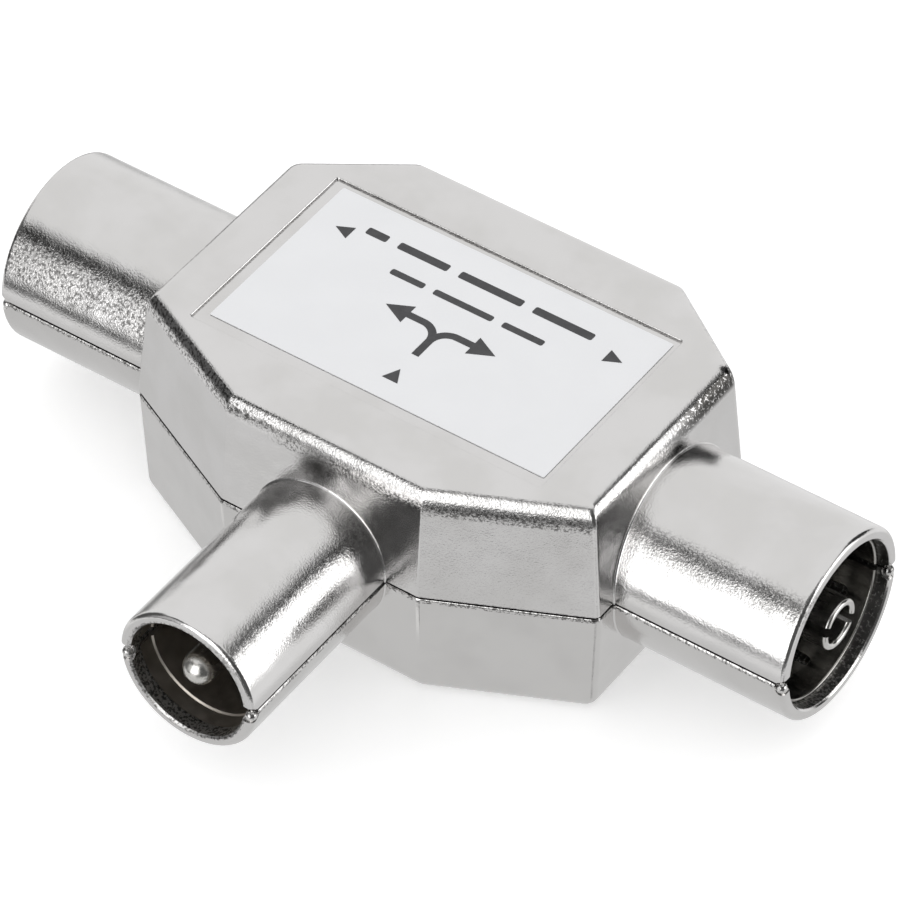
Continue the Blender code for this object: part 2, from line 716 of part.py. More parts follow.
def balance_resistor():
    """An axial resistor behind the splitting core, with its leads bent down to the board."""
    wound = crossing_reach(SPLITTING_CORE_LENGTH, WINDING_TURNS - 1) + WIRE_RADIUS
    y = SPLITTING_CORE_Y + wound + PART_SPACING + RESISTOR_RADIUS
    height = BOARD_TOP + FIT + RESISTOR_RADIUS
    half = RESISTOR_LENGTH / 2
    cap = half - RESISTOR_CAP_LENGTH
    upper = [(0, half), (RESISTOR_WAIST_RADIUS, half), (RESISTOR_RADIUS, half - RESISTOR_CAP_SLOPE),
             (RESISTOR_RADIUS, cap), (RESISTOR_WAIST_RADIUS, cap - RESISTOR_CAP_SLOPE)]
    lower = [(radius, -along) for radius, along in reversed(upper)]
    body = turned("balance_resistor", upper + lower, SMALL_STEPS, RESISTOR_BODY)
    body.location = (0, y, height)
    body.rotation_euler = (0, math.radians(90), 0)
    pad = BOARD_TOP + FIT
    out = RESISTOR_SPAN / 2
    bend = RESISTOR_LEAD_RADIUS * 2
    left = [(-out, pad), (-out, height - bend), (-out + bend, height)]
    route = left + [(-x, z) for x, z in reversed(left)]
    lead = wire_curve("resistor_lead", [Vector((x, y, z)) for x, z in route], RESISTOR_LEAD_RADIUS)
    join(body, as_mesh(lead))


def tuning_capacitor():
    """A chip capacitor with rounded edges."""
    x = MATCHING_CORE_WIDTH / 2 + 2 * PART_SPACING + CAPACITOR_WIDTH / 2
    centre = (x, MATCHING_CORE_Y, BOARD_TOP + FIT + CAPACITOR_HEIGHT / 2)
    chip = box("tuning_capacitor", (CAPACITOR_WIDTH, CAPACITOR_LENGTH, CAPACITOR_HEIGHT), centre, CERAMIC)
    edge = chip.modifiers.new("edges", "BEVEL")
    edge.width = CAPACITOR_EDGE
    edge.segments = 2


def earth_strap():
    """A folded strip from the board's top face to the housing's back wall, near the wall's right end."""
    wall_face = BACK_DEPTH - WALL - FIT
    right = outline(-WALL)[3].x - STRAP_FROM_CORNER
    low = BOARD_TOP + FIT
    route = [(wall_face - STRAP_FOOT, low), (wall_face, low), (wall_face, low + STRAP_RISE)]
    build = bmesh.new()
    rows = [[build.verts.new((x, y, z)) for y, z in route]
            for x in (right - STRAP_WIDTH, right)]
    for i in range(len(route) - 1):
        build.faces.new((rows[0][i], rows[1][i], rows[1][i + 1], rows[0][i + 1]))
    mesh = bpy.data.meshes.new("earth_strap")
    build.to_mesh(mesh)
    build.free()
    strap = add_object("earth_strap", mesh, NICKEL_SHEET)
    sheet = strap.modifiers.new("sheet", "SOLIDIFY")
    sheet.thickness = STRAP_THICKNESS
    sheet.offset = 1
    sheet.use_even_offset = True


clear_scene()
parts = new_collection("rf_power_splitter")
cutters = new_collection("cutters")

NICKEL = material("nickel_plated_zinc", (0.66, 0.65, 0.64), 0.28, 1.0)
NICKEL_SHEET = material("nickel_plated_sheet", (0.62, 0.61, 0.6), 0.22, 1.0)
BRASS = material("nickel_plated_brass", (0.7, 0.69, 0.66), 0.2, 1.0)
BLACK_PLASTIC = material("black_insulator", (0.02, 0.02, 0.02), 0.5, 0.0)
PAPER = material("white_label", (0.86, 0.87, 0.89), 0.55, 0.0)
LAMINATE = material("green_laminate", (0.05, 0.2, 0.09), 0.45, 0.0)
FERRITE = material("dark_ferrite", (0.06, 0.055, 0.055), 0.6, 0.0)
COPPER = material("enamelled_copper", (0.6, 0.22, 0.08), 0.35, 1.0)
RESISTOR_BODY = material("resistor_lacquer", (0.62, 0.5, 0.32), 0.5, 0.0)
CERAMIC = material("capacitor_ceramic", (0.45, 0.33, 0.22), 0.6, 0.0)

input_port = port("input_port", 0)
left_port = port("left_output_port", -90)
right_port = port("right_output_port", 90)
output_ports = {"left": left_port, "right": right_port}

barrels = [("input", input_port, INPUT_REACH, INPUT_RADIUS, FRONT_DEPTH + SEAM_OUTSET, INPUT_STEPS)]
bores = [bore_shape("input_bore", input_port, INPUT_REACH, INPUT_MOUTH_RADIUS, INPUT_BORE_RADIUS,
                    INPUT_LEDGE_FROM_CENTRE, INPUT_HOLE_RADIUS, INPUT_STEPS)]
notches = [rim_notch("input_notch", input_port, INPUT_REACH, INPUT_RADIUS)]
nubs = [rim_nubs("input_nubs", input_port, INPUT_REACH, INPUT_RADIUS, INPUT_MOUTH_RADIUS)]
for side, place in output_ports.items():
    barrels.append((side, place, OUTPUT_REACH, OUTPUT_RADIUS, HOUSING_LENGTH / 2 + SEAM_OUTSET, OUTPUT_STEPS))
    bores.append(bore_shape(f"{side}_bore", place, OUTPUT_REACH, OUTPUT_BORE_RADIUS, OUTPUT_BORE_RADIUS,
                            LEDGE_FROM_CENTRE, OUTPUT_HOLE_RADIUS, OUTPUT_STEPS))
    notches.append(rim_notch(f"{side}_notch", place, OUTPUT_REACH, OUTPUT_RADIUS))
    nubs.append(rim_nubs(f"{side}_nubs", place, OUTPUT_REACH, OUTPUT_RADIUS, OUTPUT_BORE_RADIUS))

upper_housing()
lower_housing()
label()
for side, place in output_ports.items():
    output_face = insulator(f"{side}_output_insulator", place, LEDGE_FROM_CENTRE, OUTPUT_BORE_RADIUS,
                            OUTPUT_HOLE_RADIUS)
    output_spring(side, place, output_face)
    output_contact(side, place, output_face)
input_face = insulator("input_insulator", input_port, INPUT_LEDGE_FROM_CENTRE, INPUT_BORE_RADIUS,
                       INPUT_HOLE_RADIUS)
input_sleeve(input_port, input_face)
input_pin(input_port, input_face)
circuit_board()
matching_core = ferrite_core("matching_core", MATCHING_CORE_LENGTH, MATCHING_CORE_WIDTH, MATCHING_CORE_HEIGHT,
                             MATCHING_CORE_Y)
winding("matching_winding", MATCHING_CORE_LENGTH, MATCHING_CORE_Y, *matching_core)
splitting_core = ferrite_core("splitting_core", SPLITTING_CORE_LENGTH, SPLITTING_CORE_WIDTH,
                              SPLITTING_CORE_HEIGHT, SPLITTING_CORE_Y)
winding("splitting_winding", SPLITTING_CORE_LENGTH, SPLITTING_CORE_Y, *splitting_core)
balance_resistor()
tuning_capacitor()
earth_strap()
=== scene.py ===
"""Looks of the two-way RF power splitter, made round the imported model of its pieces."""

import math

import bmesh
import bpy
from mathutils import Matrix, Vector


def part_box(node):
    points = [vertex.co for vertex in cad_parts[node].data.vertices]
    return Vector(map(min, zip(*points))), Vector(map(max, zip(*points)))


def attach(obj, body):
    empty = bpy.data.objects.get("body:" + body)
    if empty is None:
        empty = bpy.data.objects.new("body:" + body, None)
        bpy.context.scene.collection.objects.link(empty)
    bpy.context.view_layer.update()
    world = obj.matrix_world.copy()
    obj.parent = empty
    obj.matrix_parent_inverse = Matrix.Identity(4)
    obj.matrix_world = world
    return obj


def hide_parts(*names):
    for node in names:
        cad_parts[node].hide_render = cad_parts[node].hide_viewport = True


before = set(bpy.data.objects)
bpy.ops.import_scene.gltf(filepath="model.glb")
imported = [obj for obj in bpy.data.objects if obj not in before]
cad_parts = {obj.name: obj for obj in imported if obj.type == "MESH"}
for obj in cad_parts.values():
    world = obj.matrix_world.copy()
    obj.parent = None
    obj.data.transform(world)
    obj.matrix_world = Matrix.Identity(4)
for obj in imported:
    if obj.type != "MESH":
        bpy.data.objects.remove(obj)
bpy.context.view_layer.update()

MM = 0.001
BODY = "root"
upper_low, upper_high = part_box("upper_housing")
lower_low, lower_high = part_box("lower_housing")

# Housing: an eight-sided box in two castings that meet at the seam, where the axes of the ports cross
HOUSING_LENGTH = 32.0 * MM
BACK_DEPTH = 11.75 * MM
FRONT_DEPTH = 11.7 * MM
BACK_CORNER_LENGTH = 6.5 * MM
BACK_CORNER_DEPTH = 4.45 * MM
FRONT_CORNER_LENGTH = 9.1 * MM
FRONT_CORNER_DEPTH = 4.35 * MM
SEAM_HEIGHT = 8.2 * MM
SEAM_OUTSET = 0.6 * MM
BASE_OUTSET = 0.3 * MM
TOP_EDGE_RADIUS = 1.2 * MM
TOP_EDGE_BEND = 1.1 * MM
TOP_EDGE_TAIL = 4.0 * MM
TAIL_TURN = 72.0
BASE_EDGE_RADIUS = 1.3 * MM
UPPER_FRONT_CORNER_RADIUS = 0.35 * MM
UPPER_BACK_CORNER_RADIUS = 0.9 * MM
LOWER_CORNER_RADIUS = 0.7 * MM
WALL = 1.5 * MM
SEAM_GAP = 0.13 * MM
SEAM_EDGE = 0.07 * MM
SEAM_EDGE_RISE = 0.12 * MM
LIP_THICKNESS = 0.6 * MM
LIP_HEIGHT = 0.8 * MM
FIT = 0.25 * MM
SEATED = 0.03 * MM
PAST = 1.0 * MM

# Label and the recess that it is stuck in
RECESS_LENGTH = 24.8 * MM
RECESS_WIDTH = 14.8 * MM
RECESS_OFFSET = Vector((-0.17, -0.11)) * MM
RECESS_DEPTH = 0.2 * MM
RECESS_FLARE = 0.1 * MM
RECESS_CORNER = 0.15 * MM
LABEL_CORNER = 0.1 * MM
LABEL_LIP = 0.015 * MM

# Print on the label, measured from the label's middle
INK_THICKNESS = 0.008 * MM
HEAD_BARS = ((-8.5, -7.0), (-6.2, -2.6), (-1.8, 2.7), (3.5, 7.7))
HEAD_HEIGHT = 4.5 * MM
HEAD_SIZE = 0.6 * MM
RANGE_BARS = ((-5.3, -2.9), (-2.2, 2.0), (2.7, 5.6))
RANGE_HEIGHT = 2.4 * MM
RANGE_SIZE = 0.48 * MM
BAR_CORNER = 0.14 * MM
SYMBOL_WIDTH = 7.8 * MM
SYMBOL_TOP = -0.1 * MM
SYMBOL_FOOT = -2.7 * MM
SYMBOL_BEND = 1.2 * MM
SYMBOL_STROKE = 0.5 * MM
SYMBOL_HEAD = 1.6 * MM
ARROW_LENGTH = 1.1 * MM
SIDE_MARK_REACH = 9.7 * MM
SIDE_MARK_HEIGHT = 3.7 * MM
INPUT_MARK_HEIGHT = -4.7 * MM

# Ports, measured from the crossing of their axes
OUTPUT_REACH = upper_high.x
OUTPUT_RADIUS = 6.15 * MM
OUTPUT_BORE_RADIUS = 5.35 * MM
OUTPUT_HOLE_RADIUS = 4.4 * MM
INPUT_REACH = -upper_low.y
INPUT_RADIUS = 4.75 * MM
INPUT_MOUTH_RADIUS = 4.0 * MM
INPUT_HOLE_RADIUS = 3.0 * MM
RIM_ROUNDING = 0.35 * MM
RIM_CHAMFER = 0.12 * MM
ROOT_FILLET = 0.13 * MM
LEDGE_THICKNESS = 1.6 * MM
NOTCH_RADIUS = 0.6 * MM
NOTCH_DROP = 0.2 * MM
NUB_RADIUS = 0.36 * MM

# Slotted spring sleeves that line the socket ports
SPRING_SETBACK = 0.85 * MM
SPRING_THICKNESS = 0.25 * MM
SPRING_BOW = 0.3 * MM
SPRING_SLOTS = 13
SLOT_WIDTH = 0.7 * MM
SLOT_START = 2.25 * MM
SLOT_END_SHARE = 0.499
SPRING_TAIL_RING = 1.2 * MM
SPRING_SLIT = 0.5 * MM

# Split sleeve that lines the plug port
LIP_DEPTH = 1.0 * MM
SLEEVE_THICKNESS = 0.15 * MM
SLEEVE_STEP_AT = 1.0 * MM
SLEEVE_STEP = 0.1 * MM
SLEEVE_SLIT = 0.7 * MM

# Insulators, contacts and pin
INSULATOR_FLANGE = 2.2 * MM
NECK_PROUD = 0.2 * MM
STEM_RADIUS = 0.9 * MM
CONTACT_RADIUS = 1.65 * MM
CONTACT_BORE_RADIUS = 1.18 * MM
CONTACT_BORE_FLOOR = 1.5 * MM
CONTACT_SLOT_WIDTH = 0.6 * MM
CONTACT_SLOT_FLOOR = 2.5 * MM
CONTACT_SLOT_TURN = -20.0
PIN_RADIUS = 1.05 * MM
PIN_SETBACK = 0.4 * MM
TAIL_RADIUS = 0.45 * MM
TAIL_LENGTH = 3.0 * MM
MOULDED_EDGE = 0.2 * MM

# Bosses and locating pins inside the housing
BOARD_TOP = SEAM_HEIGHT - TAIL_RADIUS - FIT
BOARD_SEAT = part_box("circuit_board")[0].z - FIT
BOSS_RADIUS = 1.5 * MM
BOSS_MARGIN = 0.6 * MM
LOCATING_PIN_RADIUS = 0.75 * MM
LOCATING_PIN_TOP = lower_high.z

# Steps round turned pieces and nubs, along a quarter of an edge and round a corner
BARREL_STEPS = 120
FINE_STEPS = 72
SMALL_STEPS = 32
NUB_STEPS = (24, 16)
SPRING_STEPS = 12 * SPRING_SLOTS
EDGE_STEPS = 8
CORNER_STEPS = 6

# Shading and cleaning: the angle past which an edge is sharp, and how close two points count as one
SHARP_ANGLE = 32
FLAT_FACE_WEIGHT = 100
SAME_POINT = 0.00002 * MM
SAME_CUTTER_POINT = 0.001 * MM

INPUT_BORE_RADIUS = INPUT_MOUTH_RADIUS + SLEEVE_THICKNESS + SEATED
LEDGE_FROM_CENTRE = HOUSING_LENGTH / 2 - WALL + LEDGE_THICKNESS
INPUT_LEDGE_FROM_CENTRE = FRONT_DEPTH - WALL + LEDGE_THICKNESS

# Noises on the surfaces: waves a metre, detail, roughness of the detail and a shift that tells them apart
MIDDLE_SHARE = (0.3, 0.7)
STAIN_NOISE = (260, 3, 0.5, 0.0)
STAIN_SHARE = (0.35, 0.7)
POLISH_NOISE = (900, 3, 0.5, 0.3)
POLISH_SPREAD = 0.06
WAVE_NOISE = (520, 1, 0.5, 0.7)
PEEL_NOISE = (8200, 3, 0.6, 0.0)
SPECK_NOISE = (5200, 3, 0.65, 0.9)
SPECK_SHARE = (0.46, 0.6)
SHADE_SPOT_NOISE = (4200, 4, 0.7, 1.3)
SHEET_DULLING = (600, 3, 0.5, 0.0)
SHEET_DULLING_SHARE = (0.35, 0.75)
SHEET_POLISH = (1500, 2, 0.5, 0.0)
SHEET_POLISH_SPREAD = 0.08
SHEET_GRAIN = (3500, 2, 0.5, 0.0)

# Plating: where it is coarser, and where dark specks and spots are painted in as shade and as dark
# reflections.
# The amounts of specks and spots are shares of the painted shade colour, LEFT_SPECKS fades along X,
# FAR_SPECKS along Y, and a spot of painted shade is its place and radius in millimetres
EDGE_ZONE_START = 0.27 * MM
EDGE_ZONE_DROP = 1.1 * MM
EDGE_ZONE_FADE = 0.5 * MM
ROOT_ZONE = 0.7 * MM
ROOT_FADE = 0.5 * MM
SEAM_ZONE = 0.3 * MM
ZONE_SOFTNESS = 0.05 * MM
COARSE_GAIN = 0.5
PAINTED_SHADE_COLOUR = (0.06, 0.058, 0.055)
LEFT_SPECKS = (-6.5 * MM, -1.0 * MM, 0.85, 0.3)
FAR_SPECKS = (-4.0 * MM, 4.5 * MM)
FAR_SPECK_GAIN = 0.13
SEAM_SPECKS = 0.75
UNDER_EDGE = (1.75 * MM, 1.2 * MM)
UNDER_EDGE_FADE = 0.2 * MM
UNDER_EDGE_START = (-4.5 * MM, -2.0 * MM)
UNDER_EDGE_SPECKS = 0.75
PAINTED_SHADE_SPOTS = (((-0.4, -11.75, 14.2), 1.9), ((16.0, 1.0, 14.8), 1.4))
SHADE_SPOT_DEPTH = 0.95
SHADE_SPOT_RAGGED = 1.2 * MM
LEFT_PATCH = (2.3 * MM, 4.2 * MM)
RIGHT_PATCH = (3.9 * MM, 4.7 * MM)
FRONT_PATCH = (2.9 * MM, 3.7 * MM)
PATCH_FADE = 0.5 * MM
LEFT_PATCH_SPECKS = 0.75
FAINT_SPECKS = 0.4
BORE_ROUGHNESS = 0.22
BORE_SPECKS = 0.8

# Studio: the tent's light, and what the plating mirrors in it. A panel is its lowest and highest rise, its
# left and right turn from the front, the softness of its edges, all in degrees, and its brightness
TENT_LIGHT = 1.25
FLOOR_GLOW = 0.35
FLOOR_WHITE = 0.92
FLOOR_ROUGHNESS = 0.9
FLOOR_HALF = 4.0
TENT_MIRRORED = 1.12
FLOOR_MIRRORED = 0.86
HORIZON_BLEND = (-36, -30)
MIRRORED_PANELS = (
    (-22, 31, -92, -50, 4, 0.13),
    (-28, -12, -150, -105, 3, 0.3),
    (-12, 23, -50, -25, 2, 0.6),
    (-24, -13, -50, -25, 2, 0.1),
    (-13, 39, -25, 21, 2, 3.0),
    (-21, -15, -25, 8, 1.5, 0.35),
    (-31, -10, 8, 24, 2, 0.05),
    (-28, 48, 26, 90, 3, 0.12),
    (-50, -38, 58, 76, 2, 0.1),
    (-8, 27, 93, 138, 3, 3.0),
    (-4, 42, 141, 175, 2, 0.05),
    (27, 45, -60, -25, 2, 0.04),
    (40, 49, -25, 3, 2, 0.04),
    (50, 60, 3, 93, 2, 0.04),
    (29, 41, 93, 141, 2, 0.04),
)

# Camera, fitted to the photograph: a long lens from the right front, looking well down
CAMERA_TURN = 34.632
CAMERA_RISE = 44.482
CAMERA_ROLL = 0.348
CAMERA_DISTANCE = 376.28 * MM
CAMERA_ASIDE = -0.638 * MM
CAMERA_ABOVE = 1.278 * MM
LENS_MM = 253.515
SENSOR_MM = 36.0


def principled(name):
    """A new material with its node tree and its Principled shader."""
    made = bpy.data.materials.new(name)
    made.use_nodes = True
    tree = made.node_tree
    return made, tree, tree.nodes["Principled BSDF"]


def calc(tree, operation, *values):
    """A Math node on sockets or numbers. Returns its output."""
    node = tree.nodes.new("ShaderNodeMath")
    node.operation = operation
    for socket, value in zip(node.inputs, values):
        if isinstance(value, bpy.types.NodeSocket):
            tree.links.new(value, socket)
        else:
            socket.default_value = value
    return node.outputs[0]


def ramp(tree, value, low, high, start=0.0, end=1.0):
    """A smooth change from start to end as a value rises from low to high."""
    node = tree.nodes.new("ShaderNodeMapRange")
    node.interpolation_type = "SMOOTHSTEP"
    tree.links.new(value, node.inputs["Value"])
    for name, number in (("From Min", low), ("From Max", high), ("To Min", start), ("To Max", end)):
        node.inputs[name].default_value = number
    return node.outputs["Result"]


def noise(tree, scale, detail=2.0, roughness=0.5, seed_shift=0.0):
    """Noise on Object coordinates, its scale in waves a metre."""
    place = tree.nodes.new("ShaderNodeTexCoord")
    shift = tree.nodes.new("ShaderNodeMapping")
    shift.inputs["Location"].default_value = (seed_shift, seed_shift, seed_shift)
    tree.links.new(place.outputs["Object"], shift.inputs["Vector"])
    node = tree.nodes.new("ShaderNodeTexNoise")
    node.inputs["Scale"].default_value = scale
    node.inputs["Detail"].default_value = detail
    node.inputs["Roughness"].default_value = roughness
    tree.links.new(shift.outputs["Vector"], node.inputs["Vector"])
    return node.outputs["Fac"]


def blend_colours(tree, share, first, second):
    """A mix, by a socket from 0 to 1, of a colour or a colour's socket with another colour."""
    node = tree.nodes.new("ShaderNodeMix")
    node.data_type = "RGBA"
    tree.links.new(share, node.inputs["Factor"])
    if isinstance(first, bpy.types.NodeSocket):
        tree.links.new(first, node.inputs["A"])
    else:
        node.inputs["A"].default_value = (*first, 1)
    node.inputs["B"].default_value = (*second, 1)
    return node.outputs["Result"]


def bump(tree, height, distance, strength=1.0, normal=None):
    """A Bump node that raises the surface by distance times height."""
    node = tree.nodes.new("ShaderNodeBump")
    node.inputs["Strength"].default_value = strength
    node.inputs["Distance"].default_value = distance
    tree.links.new(height, node.inputs["Height"])
    if normal:
        tree.links.new(normal, node.inputs["Normal"])
    return node.outputs["Normal"]


def by_ray(tree, seen, mirrored):
    """A mix of two shaders: the first for light and for the camera, the second for reflections."""
    choice = tree.nodes.new("ShaderNodeMixShader")
    path = tree.nodes.new("ShaderNodeLightPath")
    tree.links.new(path.outputs["Is Glossy Ray"], choice.inputs["Fac"])
    tree.links.new(seen, choice.inputs[1])
    tree.links.new(mirrored, choice.inputs[2])
    return choice.outputs[0]


def near(tree, value, low, high, soft_below, soft_above):
    """One between two heights or places, zero away from them."""
    return calc(tree, "MULTIPLY", ramp(tree, value, low - soft_below, low),
                ramp(tree, value, high, high + soft_above, 1.0, 0.0))


def object_place(tree):
    """X, Y and Z in the object's own frame."""
    place = tree.nodes.new("ShaderNodeTexCoord")
    split = tree.nodes.new("ShaderNodeSeparateXYZ")
    tree.links.new(place.outputs["Object"], split.inputs[0])
    return split.outputs


def from_axis(tree, aside, up):
    """The distance from a barrel's axis."""
    return calc(tree, "SQRT", calc(tree, "MULTIPLY_ADD", aside, aside, calc(tree, "MULTIPLY", up, up)))


def root_zone(tree, along, aside, up, wall_at, radius):
    """One round a barrel's root, on the wall and on the barrel's start."""
    ring = near(tree, from_axis(tree, aside, up), radius, radius + ROOT_ZONE, ROOT_FADE, ROOT_FADE)
    depth = near(tree, along, wall_at - SEAM_OUTSET, wall_at + ROOT_ZONE, ZONE_SOFTNESS, ROOT_FADE)
    return calc(tree, "MULTIPLY", ring, depth)


def in_bore(tree, along, aside, up, wall_at, radius):
    """One inside a barrel, which isn't polished."""
    inside = ramp(tree, from_axis(tree, aside, up), radius, radius + ZONE_SOFTNESS, 1.0, 0.0)
    return calc(tree, "MULTIPLY", inside, calc(tree, "GREATER_THAN", along, wall_at))


def bores(tree):
    """One inside any of the three barrels, where the plating is rougher, has a coarser peel and gets painted
    shade.
    """
    x, y, z = object_place(tree)
    up = calc(tree, "SUBTRACT", z, SEAM_HEIGHT)
    ends = in_bore(tree, calc(tree, "ABSOLUTE", x), y, up, HOUSING_LENGTH / 2, OUTPUT_BORE_RADIUS)
    front = in_bore(tree, calc(tree, "MULTIPLY", y, -1.0), x, up, FRONT_DEPTH, INPUT_BORE_RADIUS)
    return calc(tree, "MAXIMUM", ends, front)


def barrel_patches(tree):
    """Where dark specks are painted on the barrels as dark reflections, over a coarser peel: the front of the
    left one, and fainter bands high on the others.
    """
    x, y, z = object_place(tree)
    up = calc(tree, "SUBTRACT", z, SEAM_HEIGHT)
    leftwards = calc(tree, "MULTIPLY", x, -1.0)
    ahead = calc(tree, "MULTIPLY", y, -1.0)
    end_wall = HOUSING_LENGTH / 2 + SEAM_OUTSET
    front_wall = FRONT_DEPTH + SEAM_OUTSET
    total = 0.0
    for along, aside, wall_at, heights, amount in (
            (leftwards, y, end_wall, LEFT_PATCH, LEFT_PATCH_SPECKS),
            (x, y, end_wall, RIGHT_PATCH, FAINT_SPECKS),
            (ahead, leftwards, front_wall, FRONT_PATCH, FAINT_SPECKS)):
        band = near(tree, up, *heights, PATCH_FADE, PATCH_FADE)
        here = calc(tree, "MULTIPLY", calc(tree, "GREATER_THAN", along, wall_at),
                    calc(tree, "LESS_THAN", aside, 0.0))
        total = calc(tree, "MULTIPLY_ADD", calc(tree, "MULTIPLY", band, here), amount, total)
    return total


def under_edge(tree):
    """One in a band just under the top edge, on the front wall and the slanting wall on its right, where the
    peel is coarser and dark specks are painted as a dark reflection.
    """
    x, y, z = object_place(tree)
    low, high = UNDER_EDGE
    band = near(tree, z, upper_high.z - low, upper_high.z - high, UNDER_EDGE_FADE, UNDER_EDGE_FADE)
    in_front = calc(tree, "LESS_THAN", y, 0.0)
    before_end = calc(tree, "LESS_THAN", x, HOUSING_LENGTH / 2 - UNDER_EDGE_FADE)
    along = calc(tree, "MULTIPLY", ramp(tree, x, *UNDER_EDGE_START), before_end)
    return calc(tree, "MULTIPLY", band, calc(tree, "MULTIPLY", in_front, along))


def coarse_zones(tree):
    """Where the polish doesn't reach and the peel is coarser: the top edge, the barrels' roots and the seam;
    and two ends of the edge, which only set where dark specks are painted as dark reflections.
    """
    x, y, z = object_place(tree)
    aside = calc(tree, "ABSOLUTE", x)
    ahead = calc(tree, "MULTIPLY", y, -1.0)
    up = calc(tree, "SUBTRACT", z, SEAM_HEIGHT)
    edge = near(tree, z, upper_high.z - EDGE_ZONE_DROP, upper_high.z - EDGE_ZONE_START, EDGE_ZONE_FADE,
                ZONE_SOFTNESS)
    ends = root_zone(tree, aside, y, up, HOUSING_LENGTH / 2 + SEAM_OUTSET, OUTPUT_RADIUS)
    front = root_zone(tree, ahead, x, up, FRONT_DEPTH + SEAM_OUTSET, INPUT_RADIUS)
    seam = near(tree, up, -SEAM_ZONE, SEAM_ZONE / 2, ZONE_SOFTNESS, ZONE_SOFTNESS)
    far = calc(tree, "MULTIPLY", ramp(tree, y, *FAR_SPECKS),
               ramp(tree, x, HOUSING_LENGTH / 2 - EDGE_ZONE_DROP, HOUSING_LENGTH / 2 - EDGE_ZONE_FADE))
    return edge, calc(tree, "MAXIMUM", ends, front), seam, far, ramp(tree, x, *LEFT_SPECKS)


def painted_shade_spots(tree):
    """Painted shade: dark spots with ragged edges near the barrels' roots, where the walls mirror the barrels
    and their shade.
    """
    place = tree.nodes.new("ShaderNodeTexCoord").outputs["Object"]
    grain = calc(tree, "SUBTRACT", noise(tree, *SHADE_SPOT_NOISE), 0.5)
    ragged = calc(tree, "MULTIPLY", grain, SHADE_SPOT_RAGGED)
    darkest_spot = 0.0
    for centre, radius in PAINTED_SHADE_SPOTS:
        apart = tree.nodes.new("ShaderNodeVectorMath")
        apart.operation = "DISTANCE"
        tree.links.new(place, apart.inputs[0])
        apart.inputs[1].default_value = Vector(centre) * MM
        distance = calc(tree, "ADD", apart.outputs["Value"], ragged)
        spot_share = ramp(tree, distance, 0.0, radius * MM, SHADE_SPOT_DEPTH, 0.0)
        darkest_spot = calc(tree, "MAXIMUM", spot_share, darkest_spot)
    return darkest_spot


def plated_casting(name, light, dark, rough, grain_depth, wave_depth):
    """Bright nickel over a die casting: fine orange peel, slow waves, faint stains and uneven polish, with
    dark specks and spots painted in as shade and dark reflections.
    """
    made, tree, shader = principled(name)
    edge, roots, seam, far, left = coarse_zones(tree)
    inside = bores(tree)
    patches = barrel_patches(tree)
    under = under_edge(tree)
    coarse = edge
    for zone in (roots, seam, inside, patches, under):
        coarse = calc(tree, "MAXIMUM", coarse, zone)
    stains = ramp(tree, noise(tree, *STAIN_NOISE), *STAIN_SHARE)
    plating = blend_colours(tree, stains, light, dark)
    # Painted shade: dark specks for what the plating mirrors dark, at the top edge's left and far ends, under
    # the top edge, on the barrels and along the seam, and inside the bores, with painted shade spots near the
    # barrels' roots on top
    level = calc(tree, "MULTIPLY_ADD", far, FAR_SPECK_GAIN, noise(tree, *SPECK_NOISE))
    specks = ramp(tree, level, *SPECK_SHARE)
    painted_speck_share = calc(tree, "MULTIPLY", edge, calc(tree, "MAXIMUM", left, far))
    amounts = ((seam, SEAM_SPECKS), (inside, BORE_SPECKS), (under, UNDER_EDGE_SPECKS), (patches, 1.0))
    for zone, amount in amounts:
        painted_speck_share = calc(tree, "MAXIMUM", painted_speck_share, calc(tree, "MULTIPLY", zone, amount))
    painted_shade_share = calc(tree, "MAXIMUM", calc(tree, "MULTIPLY", specks, painted_speck_share), painted_shade_spots(tree))
    tree.links.new(blend_colours(tree, painted_shade_share, plating, PAINTED_SHADE_COLOUR), shader.inputs["Base Color"])
    polish = ramp(tree, noise(tree, *POLISH_NOISE), *MIDDLE_SHARE, rough, rough + POLISH_SPREAD)
    unpolished = calc(tree, "MULTIPLY_ADD", inside, BORE_ROUGHNESS, polish)
    tree.links.new(unpolished, shader.inputs["Roughness"])
    shader.inputs["Metallic"].default_value = 1.0
    waves = bump(tree, noise(tree, *WAVE_NOISE), wave_depth)
    depth = calc(tree, "MULTIPLY_ADD", coarse, COARSE_GAIN, 1.0)
    peel = calc(tree, "MULTIPLY", noise(tree, *PEEL_NOISE), depth)
    tree.links.new(bump(tree, peel, grain_depth, 1.0, waves), shader.inputs["Normal"])
    return made


def plated_metal(name, light, dark, rough, grain_depth):
    """Plated sheet or turned metal, with fine unevenness and slight dulling."""
    made, tree, shader = principled(name)
    dulling = ramp(tree, noise(tree, *SHEET_DULLING), *SHEET_DULLING_SHARE)
    tree.links.new(blend_colours(tree, dulling, light, dark), shader.inputs["Base Color"])
    polish = ramp(tree, noise(tree, *SHEET_POLISH), *MIDDLE_SHARE, rough, rough + SHEET_POLISH_SPREAD)
    tree.links.new(polish, shader.inputs["Roughness"])
    shader.inputs["Metallic"].default_value = 1.0
    tree.links.new(bump(tree, noise(tree, *SHEET_GRAIN), grain_depth), shader.inputs["Normal"])
    return made


def dull_material(name, light, dark, rough, scale, depth):
    """A non-metal with mottled colour, uneven gloss and a fine surface."""
    made, tree, shader = principled(name)
    mottle = ramp(tree, noise(tree, scale, 4), *MIDDLE_SHARE)
    tree.links.new(blend_colours(tree, mottle, light, dark), shader.inputs["Base Color"])
    finer = noise(tree, 2 * scale, 2, seed_shift=0.4)
    gloss = ramp(tree, finer, *MIDDLE_SHARE, rough, rough + POLISH_SPREAD)
    tree.links.new(gloss, shader.inputs["Roughness"])
    tree.links.new(bump(tree, noise(tree, 3 * scale, 3), depth), shader.inputs["Normal"])
    return made


